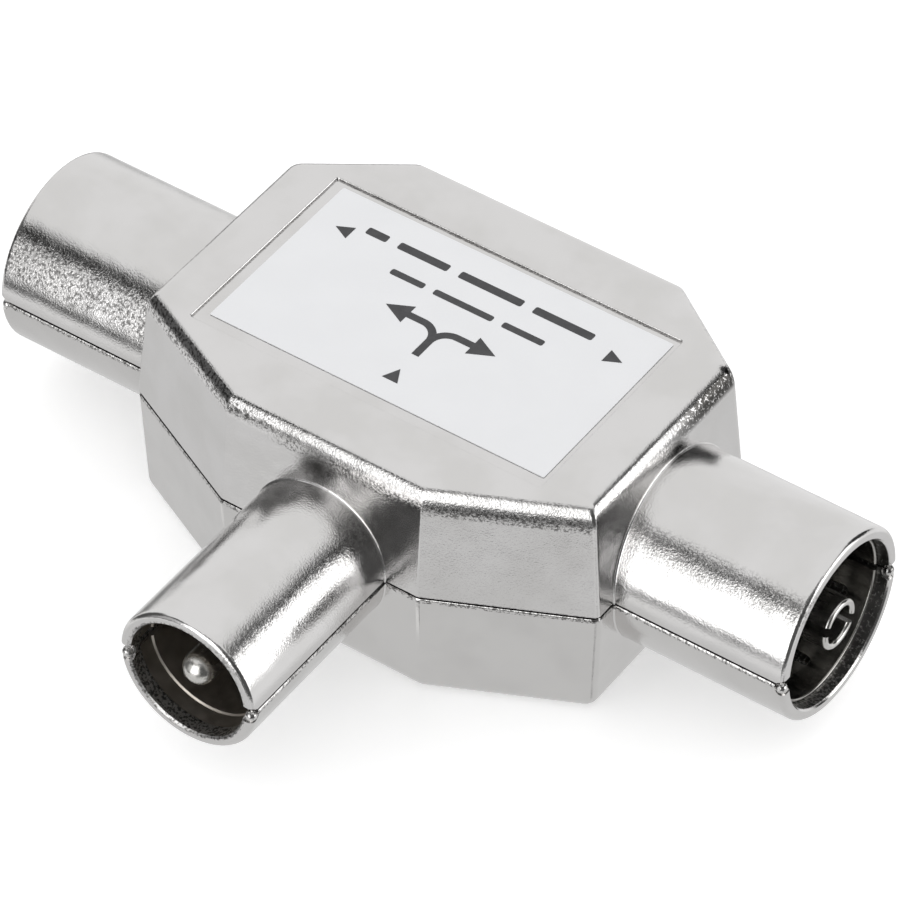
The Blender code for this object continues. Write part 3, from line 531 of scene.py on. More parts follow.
def housing_corners():
    """The eight corners of the housing at its top edge, clockwise from the left front."""
    end = HOUSING_LENGTH / 2
    back = end - BACK_CORNER_LENGTH
    front = end - FRONT_CORNER_LENGTH
    back_side = BACK_DEPTH - BACK_CORNER_DEPTH
    front_side = FRONT_CORNER_DEPTH - FRONT_DEPTH
    left = [(-end, front_side), (-end, back_side), (-back, BACK_DEPTH)]
    right = [(back, BACK_DEPTH), (end, back_side), (end, front_side)]
    return [Vector(p) for p in left + right + [(front, -FRONT_DEPTH), (-front, -FRONT_DEPTH)]]


def outward(start, end):
    """The outward normal of a side that runs clockwise."""
    along = (end - start).normalized()
    return Vector((-along.y, along.x))


def outset_corners(corners, outset):
    """The corners with every side moved outwards by the same distance."""
    moved = []
    for i, corner in enumerate(corners):
        before = outward(corners[i - 1], corner)
        after = outward(corner, corners[(i + 1) % len(corners)])
        moved.append(corner + (before + after) * outset / (1 + before.dot(after)))
    return moved


def outline(outset):
    return outset_corners(housing_corners(), outset)


def corner_radii(front, back):
    """A radius for each corner of the housing, in the order of its corners."""
    return [front, back, back, back, back, front, front, front]


def rounded(corners, radii, steps=CORNER_STEPS):
    """The same outline with each corner replaced by an arc, of one radius or of one for each."""
    if isinstance(radii, float):
        radii = [radii] * len(corners)
    points = []
    for i, (corner, radius) in enumerate(zip(corners, radii)):
        before = outward(corners[i - 1], corner)
        after = outward(corner, corners[(i + 1) % len(corners)])
        centre = corner - (before + after) * radius / (1 + before.dot(after))
        for k in range(steps + 1):
            normal = before.slerp(after, k / steps)
            points.append(centre + normal * radius)
    return points


def rectangle(centre, length, width):
    """The corners of a rectangle, clockwise."""
    x, y = length / 2, width / 2
    return [Vector(centre) + Vector(p) for p in ((-x, -y), (-x, y), (x, y), (x, -y))]


def edge_arc(radius, steps=EDGE_STEPS):
    """Inset and remaining height at points along a rounded edge."""
    for k in range(steps + 1):
        turn = math.radians(90) * k / steps
        yield radius * (1 - math.cos(turn)), radius * (1 - math.sin(turn))


def add_mesh(name, build):
    """A mesh object from a bmesh, with its faces turned outwards."""
    bmesh.ops.recalc_face_normals(build, faces=build.faces)
    mesh = bpy.data.meshes.new(name)
    build.to_mesh(mesh)
    build.free()
    made = bpy.data.objects.new(name, mesh)
    bpy.context.scene.collection.objects.link(made)
    return made


def stack(build, sections):
    """Adds a closed block through outlines at rising heights."""
    first_height, first_outline = sections[0]
    base = build.faces.new([build.verts.new((p.x, p.y, first_height)) for p in first_outline])
    ring = list(base.verts)
    for height, points in sections[1:]:
        above = [build.verts.new((p.x, p.y, height)) for p in points]
        for i, point in enumerate(ring):
            following = (i + 1) % len(ring)
            build.faces.new((point, ring[following], above[following], above[i]))
        ring = above
    build.faces.new(ring)


def stacked(name, sections):
    build = bmesh.new()
    stack(build, sections)
    return add_mesh(name, build)


def prism(name, points, low, high):
    return stacked(name, [(low, points), (high, points)])


def posts(name, radius, low, high, places):
    """Upright cylinders at several places, as one object."""
    build = bmesh.new()
    for x, y in places:
        place = Matrix.Translation((x, y, (low + high) / 2))
        bmesh.ops.create_cone(build, cap_ends=True, segments=SMALL_STEPS, radius1=radius, radius2=radius,
                              depth=high - low, matrix=place)
    return add_mesh(name, build)


def port_place(turn):
    """From a port's own frame, with Z out of the port and X in the seam, to the object's frame."""
    lie = Matrix.Rotation(math.radians(turn), 4, "Z") @ Matrix.Rotation(math.radians(90), 4, "X")
    return Matrix.Translation((0, 0, SEAM_HEIGHT)) @ lie


def turn_profile(build, place, profile, steps, closed=False):
    """Adds a closed solid turned from points of radius and height, and moves it into its port."""
    rings = []
    for radius, height in profile:
        if radius == 0:
            rings.append([build.verts.new(place @ Vector((0, 0, height)))] * steps)
            continue
        turns = [math.tau * k / steps for k in range(steps)]
        rings.append([build.verts.new(place @ Vector((radius * math.cos(t), radius * math.sin(t), height)))
                      for t in turns])
    pairs = list(zip(rings, rings[1:]))
    if closed:
        pairs.append((rings[-1], rings[0]))
    for upper, lower in pairs:
        for k in range(steps):
            following = (k + 1) % steps
            corners = [upper[k], upper[following], lower[following], lower[k]]
            build.faces.new(list(dict.fromkeys(corners)))


def turned(name, place, profile, steps, closed=False):
    build = bmesh.new()
    turn_profile(build, place, profile, steps, closed)
    return add_mesh(name, build)


def box_in_port(name, place, size, centre, turn=0.0):
    """A box in a port's frame, turned about the port's axis."""
    build = bmesh.new()
    spin = Matrix.Rotation(math.radians(turn), 4, "Z")
    shape = Matrix.Translation(centre) @ Matrix.Diagonal((*size, 1))
    bmesh.ops.create_cube(build, size=1, matrix=place @ spin @ shape)
    return add_mesh(name, build)


def boolean(target, operation, other):
    change = target.modifiers.new(other.name, "BOOLEAN")
    change.operation = operation
    change.solver = "EXACT"
    change.object = other


def settle(made, tools=()):
    """Turns what the modifiers make into a plain mesh, and clears away the tools."""
    bpy.context.view_layer.update()
    graph = bpy.context.evaluated_depsgraph_get()
    mesh = bpy.data.meshes.new_from_object(made.evaluated_get(graph))
    old = made.data
    made.modifiers.clear()
    made.data = mesh
    mesh.name = made.name
    bpy.data.meshes.remove(old)
    for tool in tools:
        bpy.data.objects.remove(tool, do_unlink=True)


def clean(made):
    """Merges points that a Boolean leaves next to each other and drops faces without area."""
    build = bmesh.new()
    build.from_mesh(made.data)
    bmesh.ops.remove_doubles(build, verts=build.verts, dist=SAME_POINT)
    bmesh.ops.dissolve_degenerate(build, edges=build.edges, dist=SAME_POINT)
    build.to_mesh(made.data)
    build.free()


def shade(made):
    """Smooth shading up to an angle, with flat faces kept flat."""
    made.data.shade_smooth()
    made.data.set_sharp_from_angle(angle=math.radians(SHARP_ANGLE))
    flat = made.modifiers.new("flat faces", "WEIGHTED_NORMAL")
    flat.keep_sharp = True
    flat.weight = FLAT_FACE_WEIGHT
    settle(made)


def finished(made, material, slot, *nodes):
    """Gives a piece its finish and its body, and hides the nodes that it stands for."""
    made.data.materials.clear()
    made.data.materials.append(material)
    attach(made, BODY)
    if nodes:
        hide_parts(*nodes)
    return made


PORTS = {"input": port_place(0), "left": port_place(-90), "right": port_place(90)}
OUTPUTS = ("left", "right")


def port_sizes(name):
    """Reach, outer radius, mouth radius, bore radius, ledge, hole radius and wall of a port."""
    if name == "input":
        return (INPUT_REACH, INPUT_RADIUS, INPUT_MOUTH_RADIUS, INPUT_BORE_RADIUS, INPUT_LEDGE_FROM_CENTRE,
                INPUT_HOLE_RADIUS, FRONT_DEPTH + SEAM_OUTSET)
    return (OUTPUT_REACH, OUTPUT_RADIUS, OUTPUT_BORE_RADIUS, OUTPUT_BORE_RADIUS, LEDGE_FROM_CENTRE,
            OUTPUT_HOLE_RADIUS, HOUSING_LENGTH / 2 + SEAM_OUTSET)


def wall_lean(height, edge_outset, edge_radius):
    """How far a casting's sides lean in over each unit of height away from the seam."""
    return (SEAM_OUTSET - edge_outset) / (height - edge_radius)


def eased_edge(bend, tail, slope):
    """Reach outwards and drop along an edge that bends tightly first and then eases into a leaning side."""
    side_turn = math.degrees(math.atan2(1, slope))
    centre_reach, centre_drop = 0, bend
    for k in range(2 * EDGE_STEPS + 1):
        if k > EDGE_STEPS:
            turn = math.radians(TAIL_TURN + (side_turn - TAIL_TURN) * (k - EDGE_STEPS) / EDGE_STEPS)
            centre_reach = (bend - tail) * math.sin(math.radians(TAIL_TURN))
            centre_drop = bend + (tail - bend) * math.cos(math.radians(TAIL_TURN))
            radius = tail
        else:
            turn = math.radians(TAIL_TURN * k / EDGE_STEPS)
            radius = bend
        yield centre_reach + radius * math.sin(turn), centre_drop - radius * math.cos(turn)


def casting_block(name, height, edge_outset, edge_radius, radii, side, bend, tail):
    """A casting's outside, from a small chamfer at the seam to its rounded top or bottom edge."""
    def section(from_seam, outset):
        return SEAM_HEIGHT + side * from_seam, rounded(outline(outset), radii)

    slope = wall_lean(height, edge_outset, edge_radius)
    start = SEAM_GAP / 2
    sections = [section(start, SEAM_OUTSET - slope * start - SEAM_EDGE)]
    sections.append(section(start + SEAM_EDGE_RISE, SEAM_OUTSET - slope * (start + SEAM_EDGE_RISE)))
    edge = list(eased_edge(bend, tail, slope))
    full_reach, full_drop = edge[-1]
    end_outset = edge_outset + slope * (full_drop - edge_radius)
    sections += [section(height - drop, end_outset - full_reach + reach) for reach, drop in reversed(edge)]
    return stacked(name, sections)


def barrel_tools(lean):
    """The outsides of the ports: barrels with a rounded rim, and a fillet that follows the leaning wall."""
    build = bmesh.new()
    for name, place in PORTS.items():
        reach, radius, _, _, _, _, wall_at = port_sizes(name)
        middle = (wall_at + reach) / 2
        before = len(build.verts)
        inner_end = wall_at - WALL
        profile = [(0, reach)]
        profile += [(radius - inset, reach - left) for inset, left in reversed(list(edge_arc(RIM_ROUNDING)))]
        profile.append((radius, wall_at + ROOT_FILLET))
        for k in range(1, EDGE_STEPS - 1):
            turn = math.radians(90) * k / EDGE_STEPS
            spread = ROOT_FILLET * (1 - math.cos(turn))
            profile.append((radius + spread, wall_at + ROOT_FILLET * (1 - math.sin(turn))))
        profile += [(profile[-1][0], inner_end), (0, inner_end)]
        turn_profile(build, Matrix(), profile, BARREL_STEPS)
        build.verts.ensure_lookup_table()
        for point in build.verts[before:]:
            if point.co.z < middle:
                point.co.z -= lean * point.co.y
            point.co = place @ point.co
    return add_mesh("barrels", build)


def bore_tools():
    """The insides of the three ports: a chamfered mouth, a bore down to the ledge and a hole on inwards."""
    build = bmesh.new()
    for name, place in PORTS.items():
        reach, _, mouth, radius, ledge_at, hole, _ = port_sizes(name)
        inside = ledge_at - LEDGE_THICKNESS - PAST
        profile = [(0, reach + PAST), (mouth + RIM_CHAMFER, reach + PAST), (mouth + RIM_CHAMFER, reach)]
        profile.append((mouth, reach - RIM_CHAMFER))
        if radius > mouth:
            profile += [(mouth, reach - LIP_DEPTH), (radius, reach - LIP_DEPTH)]
        profile += [(radius, ledge_at), (hole, ledge_at), (hole, inside), (0, inside)]
        turn_profile(build, place, profile, BARREL_STEPS)
    return add_mesh("bores", build)


def notch_tools():
    """Round notches across the rims where the castings meet."""
    build = bmesh.new()
    lie_along_x = Matrix.Rotation(math.radians(90), 4, "Y")
    for name, place in PORTS.items():
        reach, radius, *_ = port_sizes(name)
        lying = place @ Matrix.Translation((0, -NOTCH_DROP, reach)) @ lie_along_x
        bmesh.ops.create_cone(build, cap_ends=True, segments=SMALL_STEPS, radius1=NOTCH_RADIUS,
                              radius2=NOTCH_RADIUS, depth=2 * (radius + PAST), matrix=lying)
    return add_mesh("notches", build)


def seam_edge_tools():
    """Bars on edge along the barrels' seams, which cut a small steep chamfer on both castings."""
    build = bmesh.new()
    half_rise = SEAM_EDGE_RISE + SEAM_GAP / 2
    half_depth = half_rise * SEAM_EDGE / SEAM_EDGE_RISE
    for name, place in PORTS.items():
        reach, radius, _, _, _, _, wall_at = port_sizes(name)
        for side in (-1, 1):
            low, high = wall_at + SEAM_EDGE, reach + PAST
            centre = Matrix.Translation((side * radius, 0, (low + high) / 2))
            on_edge = Matrix.Rotation(math.radians(45), 4, "Z")
            size = Matrix.Diagonal((half_depth * math.sqrt(2), half_rise * math.sqrt(2), high - low, 1))
            bmesh.ops.create_cube(build, size=1, matrix=place @ centre @ size @ on_edge)
    return add_mesh("seam_edges", build)


def nub_tools():
    """The lower casting's nubs, each standing in the bottom of a notch."""
    build = bmesh.new()
    around, rings = NUB_STEPS
    drop = NOTCH_DROP + NOTCH_RADIUS - NUB_RADIUS
    for name, place in PORTS.items():
        reach, radius, mouth, *_ = port_sizes(name)
        for side in (-1, 1):
            centre = Matrix.Translation((side * (radius + mouth) / 2, -drop, reach - NUB_RADIUS))
            bmesh.ops.create_uvsphere(build, u_segments=around, v_segments=rings, radius=NUB_RADIUS,
                                      matrix=place @ centre)
    return add_mesh("nubs", build)


def boss_places():
    """Centres of the four bosses, each just inside the middle of a slanting wall of the cavity."""
    corners = outline(-WALL)
    for start, end in ((1, 2), (3, 4), (5, 6), (7, 0)):
        normal = outward(corners[start], corners[end])
        yield (corners[start] + corners[end]) / 2 - normal * (BOSS_RADIUS + BOSS_MARGIN)


def casting(name, side, height, edge_outset, edge_radius, radii, bend, tail):
    """Half of the box and of every barrel as one hollow casting, with its tools and its inner face."""
    half = casting_block(name, height, edge_outset, edge_radius, radii, side, bend, tail)
    span = 3 * OUTPUT_REACH
    tools = [barrel_tools(side * wall_lean(height, edge_outset, edge_radius))]
    boolean(half, "UNION", tools[-1])
    far = rectangle((0, 0), span, span)
    seam_face = SEAM_HEIGHT + side * SEAM_GAP / 2
    tools.append(prism("other_side", far, *sorted((seam_face, seam_face - side * span))))
    boolean(half, "DIFFERENCE", tools[-1])
    low = SEAM_HEIGHT - PAST
    if side > 0:
        step = outline(LIP_THICKNESS + SEATED - WALL)
        tools.append(prism("lip_step", step, low, SEAM_HEIGHT + LIP_HEIGHT + SEATED))
        boolean(half, "DIFFERENCE", tools[-1])
    else:
        tools.append(prism("seam_lip", outline(LIP_THICKNESS - WALL), low, SEAM_HEIGHT + LIP_HEIGHT))
        boolean(half, "UNION", tools[-1])
    inner_face = SEAM_HEIGHT + side * (height - WALL)
    past_lip = SEAM_HEIGHT - side * (LIP_HEIGHT + PAST)
    tools.append(prism("cavity", outline(-WALL), *sorted((inner_face, past_lip))))
    boolean(half, "DIFFERENCE", tools[-1])
    for tool in (bore_tools(), notch_tools(), seam_edge_tools()):
        tools.append(tool)
        boolean(half, "DIFFERENCE", tool)
    return half, tools, inner_face


def upper_shell():
    half, tools, roof = casting("upper_shell", 1, upper_high.z - SEAM_HEIGHT, 0, TOP_EDGE_RADIUS,
                                corner_radii(UPPER_FRONT_CORNER_RADIUS, UPPER_BACK_CORNER_RADIUS),
                                TOP_EDGE_BEND, TOP_EDGE_TAIL)
    tools.append(posts("bosses", BOSS_RADIUS, BOARD_TOP + FIT, roof + WALL / 2, boss_places()))
    boolean(half, "UNION", tools[-1])
    clear = LOCATING_PIN_RADIUS + FIT
    tools.append(posts("sockets", clear, BOARD_TOP, LOCATING_PIN_TOP + FIT, boss_places()))
    boolean(half, "DIFFERENCE", tools[-1])
    corners = rectangle(RECESS_OFFSET, RECESS_LENGTH, RECESS_WIDTH)
    sections = [(RECESS_FLOOR, rounded(corners, RECESS_CORNER))]
    for opened, left in edge_arc(RECESS_FLARE, CORNER_STEPS):
        wide = rounded(outset_corners(corners, opened), RECESS_CORNER + opened)
        sections.append((upper_high.z - left, wide))
    tools.append(stacked("label_recess", sections + [(upper_high.z + PAST, sections[-1][1])]))
    boolean(half, "DIFFERENCE", tools[-1])
    settle(half, tools)
    clean(half)
    shade(half)
    finished(half, CAST_NICKEL, "nickel_plated_zinc", "upper_housing")


def lower_shell():
    half, tools, floor = casting("lower_shell", -1, SEAM_HEIGHT - lower_low.z, BASE_OUTSET, BASE_EDGE_RADIUS,
                                 LOWER_CORNER_RADIUS, BASE_EDGE_RADIUS, BASE_EDGE_RADIUS)
    tools.append(nub_tools())
    boolean(half, "UNION", tools[-1])
    tools.append(posts("bosses", BOSS_RADIUS, floor - WALL / 2, BOARD_SEAT, boss_places()))
    boolean(half, "UNION", tools[-1])
    tools.append(posts("pins", LOCATING_PIN_RADIUS, BOARD_SEAT - PAST, LOCATING_PIN_TOP, boss_places()))
    boolean(half, "UNION", tools[-1])
    settle(half, tools)
    clean(half)
    shade(half)
    finished(half, SMOOTH_NICKEL, "nickel_plated_zinc", "lower_housing")


def arc_profile(centre, radius, start, end, steps=EDGE_STEPS):
    """Points of radius and height along an arc between two angles in degrees."""
    for k in range(steps + 1):
        turn = math.radians(start + (end - start) * k / steps)
        yield centre[0] + radius * math.cos(turn), centre[1] + radius * math.sin(turn)


def input_pin():
    """A turned pin with a domed tip, a shoulder at the insulator and a tail over the board."""
    tip = INPUT_REACH - PIN_SETBACK
    face = INPUT_LEDGE_FROM_CENTRE + FIT + INSULATOR_FLANGE
    neck_end = INPUT_LEDGE_FROM_CENTRE - LEDGE_THICKNESS - NECK_PROUD
    profile = list(arc_profile((0, tip - PIN_RADIUS), PIN_RADIUS, 90, 0, 2 * EDGE_STEPS))
    profile[0] = (0, tip)
    profile += stem_profile(face, neck_end, PIN_RADIUS)
    pin = turned("input_pin_turning", PORTS["input"], profile, FINE_STEPS)
    shade(pin)
    finished(pin, PIN_NICKEL, "nickel_plated_brass", "input_pin")


def stem_profile(face, neck_end, body_radius):
    """A contact below its shoulder: a stem through the insulator and a thin tail over the board."""
    tail_start = neck_end - FIT
    tail_end = tail_start - TAIL_LENGTH
    return [(body_radius, face + SEATED), (STEM_RADIUS, face + SEATED), (STEM_RADIUS, tail_start),
            (TAIL_RADIUS, tail_start), (TAIL_RADIUS, tail_end), (0, tail_end)]


def output_contact(side):
    """A turned socket contact with a rounded mouth, slotted into two leaves."""
    face = LEDGE_FROM_CENTRE + FIT + INSULATOR_FLANGE
    floor = face + FIT + CONTACT_BORE_FLOOR
    neck_end = LEDGE_FROM_CENTRE - LEDGE_THICKNESS - NECK_PROUD
    rounding = (CONTACT_RADIUS - CONTACT_BORE_RADIUS) / 2
    rim = ((CONTACT_RADIUS + CONTACT_BORE_RADIUS) / 2, OUTPUT_REACH - rounding)
    profile = [(0, floor), (CONTACT_BORE_RADIUS, floor)]
    profile += list(arc_profile(rim, rounding, 180, 0, 2 * EDGE_STEPS))
    profile += stem_profile(face, neck_end, CONTACT_RADIUS)
    contact = turned(f"{side}_contact_turning", PORTS[side], profile, FINE_STEPS)
    span = 2 * (CONTACT_RADIUS + PAST)
    size = (span, CONTACT_SLOT_WIDTH, 2 * (OUTPUT_REACH - floor - CONTACT_SLOT_FLOOR))
    slot = box_in_port("contact_slot", PORTS[side], size, Vector((0, 0, OUTPUT_REACH)), CONTACT_SLOT_TURN)
    boolean(contact, "DIFFERENCE", slot)
    settle(contact, [slot])
    clean(contact)
    shade(contact)
    finished(contact, CONTACT_NICKEL, "nickel_plated_sheet", f"{side}_output_contact")


def slot_ring_tree():
    """Geometry Nodes: round-ended cutters evenly round a sleeve, with none at its slit."""
    tree = bpy.data.node_groups.new("slot_ring", "GeometryNodeTree")
    tree.interface.new_socket("Slots", in_out="INPUT", socket_type="NodeSocketInt")
    for name in ("Radius", "Depth", "Width", "Length", "Middle"):
        tree.interface.new_socket(name, in_out="INPUT", socket_type="NodeSocketFloat")
    tree.interface.new_socket("Cutters", in_out="OUTPUT", socket_type="NodeSocketGeometry")
    sizes = tree.nodes.new("NodeGroupInput").outputs
    out = tree.nodes.new("NodeGroupOutput")
    link = tree.links.new

    outline_curve = tree.nodes.new("GeometryNodeCurvePrimitiveQuadrilateral")
    link(sizes["Width"], outline_curve.inputs["Width"])
    link(sizes["Length"], outline_curve.inputs["Height"])
    ends = tree.nodes.new("GeometryNodeFilletCurve")
    ends.mode = "POLY"
    ends.inputs["Count"].default_value = EDGE_STEPS
    ends.inputs["Limit Radius"].default_value = True
    link(outline_curve.outputs[0], ends.inputs["Curve"])
    link(calc(tree, "MULTIPLY", sizes["Width"], SLOT_END_SHARE), ends.inputs["Radius"])
    face = tree.nodes.new("GeometryNodeFillCurve")
    face.mode = "NGONS"
    link(ends.outputs[0], face.inputs["Curve"])
    prism_nodes = tree.nodes.new("GeometryNodeExtrudeMesh")
    link(face.outputs[0], prism_nodes.inputs["Mesh"])
    link(sizes["Depth"], prism_nodes.inputs["Offset Scale"])
    turned_back = tree.nodes.new("GeometryNodeFlipFaces")
    link(face.outputs[0], turned_back.inputs[0])
    both = tree.nodes.new("GeometryNodeJoinGeometry")
    link(prism_nodes.outputs["Mesh"], both.inputs[0])
    link(turned_back.outputs[0], both.inputs[0])
    closed = tree.nodes.new("GeometryNodeMergeByDistance")
    closed.inputs["Distance"].default_value = SAME_CUTTER_POINT
    link(both.outputs[0], closed.inputs["Geometry"])

    ring = tree.nodes.new("GeometryNodeMeshCircle")
    link(sizes["Slots"], ring.inputs["Vertices"])
    link(sizes["Radius"], ring.inputs["Radius"])
    index = tree.nodes.new("GeometryNodeInputIndex").outputs[0]
    step = calc(tree, "DIVIDE", math.tau, sizes["Slots"])
    spin = calc(tree, "MULTIPLY_ADD", index, step, math.radians(90))
    stand = tree.nodes.new("ShaderNodeCombineXYZ")
    stand.inputs["X"].default_value = math.radians(90)
    link(spin, stand.inputs["Z"])
    rotation = tree.nodes.new("FunctionNodeEulerToRotation")
    link(stand.outputs[0], rotation.inputs[0])
    lift = tree.nodes.new("ShaderNodeCombineXYZ")
    link(sizes["Middle"], lift.inputs["Z"])
    raised = tree.nodes.new("GeometryNodeSetPosition")
    link(ring.outputs[0], raised.inputs["Geometry"])
    link(lift.outputs[0], raised.inputs["Offset"])
    copies = tree.nodes.new("GeometryNodeInstanceOnPoints")
    link(raised.outputs[0], copies.inputs["Points"])
    link(calc(tree, "GREATER_THAN", index, 0.5), copies.inputs["Selection"])
    link(closed.outputs[0], copies.inputs["Instance"])
    link(rotation.outputs[0], copies.inputs["Rotation"])
    real = tree.nodes.new("GeometryNodeRealizeInstances")
    link(copies.outputs[0], real.inputs[0])
    coat = tree.nodes.new("GeometryNodeSetMaterial")
    coat.inputs["Material"].default_value = SHEET_NICKEL
    link(real.outputs[0], coat.inputs["Geometry"])
    link(coat.outputs[0], out.inputs[0])
    return tree


def from_nodes(name, tree, place, values):
    """A plain mesh made by a Geometry Nodes tree with the given sizes, moved into its port."""
    made = add_mesh(name, bmesh.new())
    change = made.modifiers.new("nodes", "NODES")
    change.node_group = tree
    for socket in tree.interface.items_tree:
        if socket.in_out == "INPUT":
            change[socket.identifier] = values[socket.name]
    settle(made)
    made.data.transform(place)
    return made


def output_spring(side, tree):
    """A rolled sleeve of spring sheet: a ring at each end, with bowed leaves between round-ended slots."""
    front = OUTPUT_REACH - SPRING_SETBACK
    back = LEDGE_FROM_CENTRE + FIT + INSULATOR_FLANGE + FIT
    slot_front = OUTPUT_REACH - SLOT_START
    slot_back = back + SPRING_TAIL_RING
    radius = OUTPUT_BORE_RADIUS - SEATED
    lip = SPRING_THICKNESS / 2
    stations = [(slot_front, 0.0)]
    for k in range(1, 2 * EDGE_STEPS):
        share = k / (2 * EDGE_STEPS)
        along = slot_front + (slot_back - slot_front) * share
        stations.append((along, SPRING_BOW * math.sin(math.pi * share)))
    stations.append((slot_back, 0.0))
    profile = list(arc_profile((radius - lip, front - lip), lip, 180, 0))
    profile += [(radius - bow, along) for along, bow in stations]
    profile += [(radius, back), (radius - SPRING_THICKNESS, back)]
    profile += [(radius - SPRING_THICKNESS - bow, along) for along, bow in reversed(stations)]
    spring = turned(f"{side}_spring_sleeve", PORTS[side], profile, SPRING_STEPS, closed=True)
    slots = from_nodes("slots", tree, PORTS[side], {
        "Slots": SPRING_SLOTS,
        "Radius": radius - SPRING_THICKNESS - SPRING_BOW - FIT,
        "Depth": SPRING_THICKNESS + SPRING_BOW + 2 * FIT,
        "Width": SLOT_WIDTH,
        "Length": slot_front - slot_back,
        "Middle": (slot_front + slot_back) / 2,
    })
    slit_size = (2 * radius, SPRING_SLIT, 2 * (front - back))
    slit = box_in_port("slit", PORTS[side], slit_size, Vector((radius, 0, (front + back) / 2)))
    boolean(spring, "DIFFERENCE", slots)
    boolean(spring, "DIFFERENCE", slit)
    settle(spring, [slots, slit])
    clean(spring)
    shade(spring)
    finished(spring, SHEET_NICKEL, "nickel_plated_sheet", f"{side}_output_spring")


def input_sleeve():
    """A rolled sleeve with a shallow step behind its front edge and an open slit at one side."""
    front = INPUT_REACH - LIP_DEPTH - SEATED
    back = INPUT_LEDGE_FROM_CENTRE + FIT + INSULATOR_FLANGE + FIT
    radius = INPUT_BORE_RADIUS - SEATED
    inner = radius - SLEEVE_THICKNESS
    step = front - SLEEVE_STEP_AT
    profile = [(radius, front), (radius, back), (inner - SLEEVE_STEP, back)]
    profile += [(inner - SLEEVE_STEP, step - SLEEVE_STEP), (inner, step), (inner, front)]
    sleeve = turned("input_sleeve_sheet", PORTS["input"], profile, BARREL_STEPS, closed=True)
    size = (2 * radius, SLEEVE_SLIT, 2 * (front - back))
    slit = box_in_port("slit", PORTS["input"], size, Vector((-radius, 0, (front + back) / 2)))
    boolean(sleeve, "DIFFERENCE", slit)
    settle(sleeve, [slit])
    clean(sleeve)
    shade(sleeve)
    finished(sleeve, SHADED_SLEEVE_NICKEL, "nickel_plated_sheet", "input_sleeve")


def insulator(name, node):
    """A moulded disc on the ledge with a rounded front edge, and a neck through the wall."""
    _, _, _, bore, ledge_at, hole_radius, _ = port_sizes(name)
    seat = ledge_at + SEATED
    face = ledge_at + FIT + INSULATOR_FLANGE
    neck_end = ledge_at - LEDGE_THICKNESS - NECK_PROUD
    flange = bore - SEATED
    neck = hole_radius - SEATED
    hole = STEM_RADIUS + SEATED
    profile = list(arc_profile((flange - MOULDED_EDGE, face - MOULDED_EDGE), MOULDED_EDGE, 90, 0))
    profile += [(flange, seat), (neck, seat), (neck, neck_end), (hole, neck_end), (hole, face)]
    disc = turned(f"{name}_insulator_moulding", PORTS[name], profile, FINE_STEPS, closed=True)
    shade(disc)
    finished(disc, BLACK_PLASTIC, "black_insulator", node)


def label_plate():
    """The sticker: a thin film with rounded corners and a slightly rolled edge."""
    middle = (LABEL_LOW_CORNER + LABEL_HIGH_CORNER) / 2
    size = LABEL_HIGH_CORNER - LABEL_LOW_CORNER
    corners = rectangle(middle.xy, size.x, size.y)
    sections = [(RECESS_FLOOR + LABEL_LIP, rounded(corners, LABEL_CORNER))]
    for inset, left in edge_arc(LABEL_LIP, CORNER_STEPS):
        sections.append((LABEL_TOP - left, rounded(outset_corners(corners, -inset), LABEL_CORNER)))
    plate = stacked("label_plate", sections)
    shade(plate)
    finished(plate, LABEL_FILM, "white_label", "label")


def bar_shape(start, end, height, size):
    """The outline of a bar that stands for a word."""
    return rounded(rectangle(((start + end) / 2, height), end - start, size), BAR_CORNER)


def ribbon_shape(points, width):
    """The outline, clockwise, of an even stroke along a path."""
    left, right = [], []
    for k, point in enumerate(points):
        along = (points[min(k + 1, len(points) - 1)] - points[max(k - 1, 0)]).normalized()
        aside = Vector((-along.y, along.x)) * width / 2
        left.append(point + aside)
        right.append(point - aside)
    return left + right[::-1]


def arrow_shape(tip, direction, length):
    """The outline, clockwise, of a solid arrowhead as wide as it is long."""
    along = Vector(direction).normalized()
    left = Vector((-along.y, along.x))
    base = Vector(tip) - along * length
    return [base - left * length / 2, base + left * length / 2, Vector(tip)]


def fork_shapes():
    """A line that comes in at the foot and bends out to both sides, each with an arrowhead."""
    for side in (-1, 1):
        path = [Vector((0, SYMBOL_FOOT))]
        path += [Vector((side * (SYMBOL_BEND - reach), SYMBOL_TOP - SYMBOL_BEND + height))
                 for reach, height in arc_profile((0, 0), SYMBOL_BEND, 0, 90, 2 * CORNER_STEPS)]
        path.append(Vector((side * (SYMBOL_WIDTH / 2 - SYMBOL_HEAD), SYMBOL_TOP)))
        yield ribbon_shape(path, SYMBOL_STROKE)
        yield arrow_shape((side * SYMBOL_WIDTH / 2, SYMBOL_TOP), (side, 0), SYMBOL_HEAD)


def label_print():
    """Generic print: bars for lines of text, arrowheads at the ports and a sign of one line that forks."""
    middle = ((LABEL_LOW_CORNER + LABEL_HIGH_CORNER) / 2).xy
    shapes = []
    for bars, height, size in ((HEAD_BARS, HEAD_HEIGHT, HEAD_SIZE), (RANGE_BARS, RANGE_HEIGHT, RANGE_SIZE)):
        shapes += [bar_shape(start * MM, end * MM, height, size) for start, end in bars]
    for side in (-1, 1):
        shapes.append(arrow_shape((side * (SIDE_MARK_REACH + ARROW_LENGTH / 2), SIDE_MARK_HEIGHT), (side, 0),
                                  ARROW_LENGTH))
    shapes.append(arrow_shape((0, INPUT_MARK_HEIGHT + ARROW_LENGTH / 2), (0, 1), ARROW_LENGTH))
    shapes += list(fork_shapes())
    build = bmesh.new()
    for k, shape in enumerate(shapes):
        points = [middle + p for p in shape]
        stack(build, [(LABEL_TOP, points), (LABEL_TOP + INK_THICKNESS * (1 + k / len(shapes)), points)])
    ink = add_mesh("label_ink", build)
    finished(ink, INK, "black_insulator")


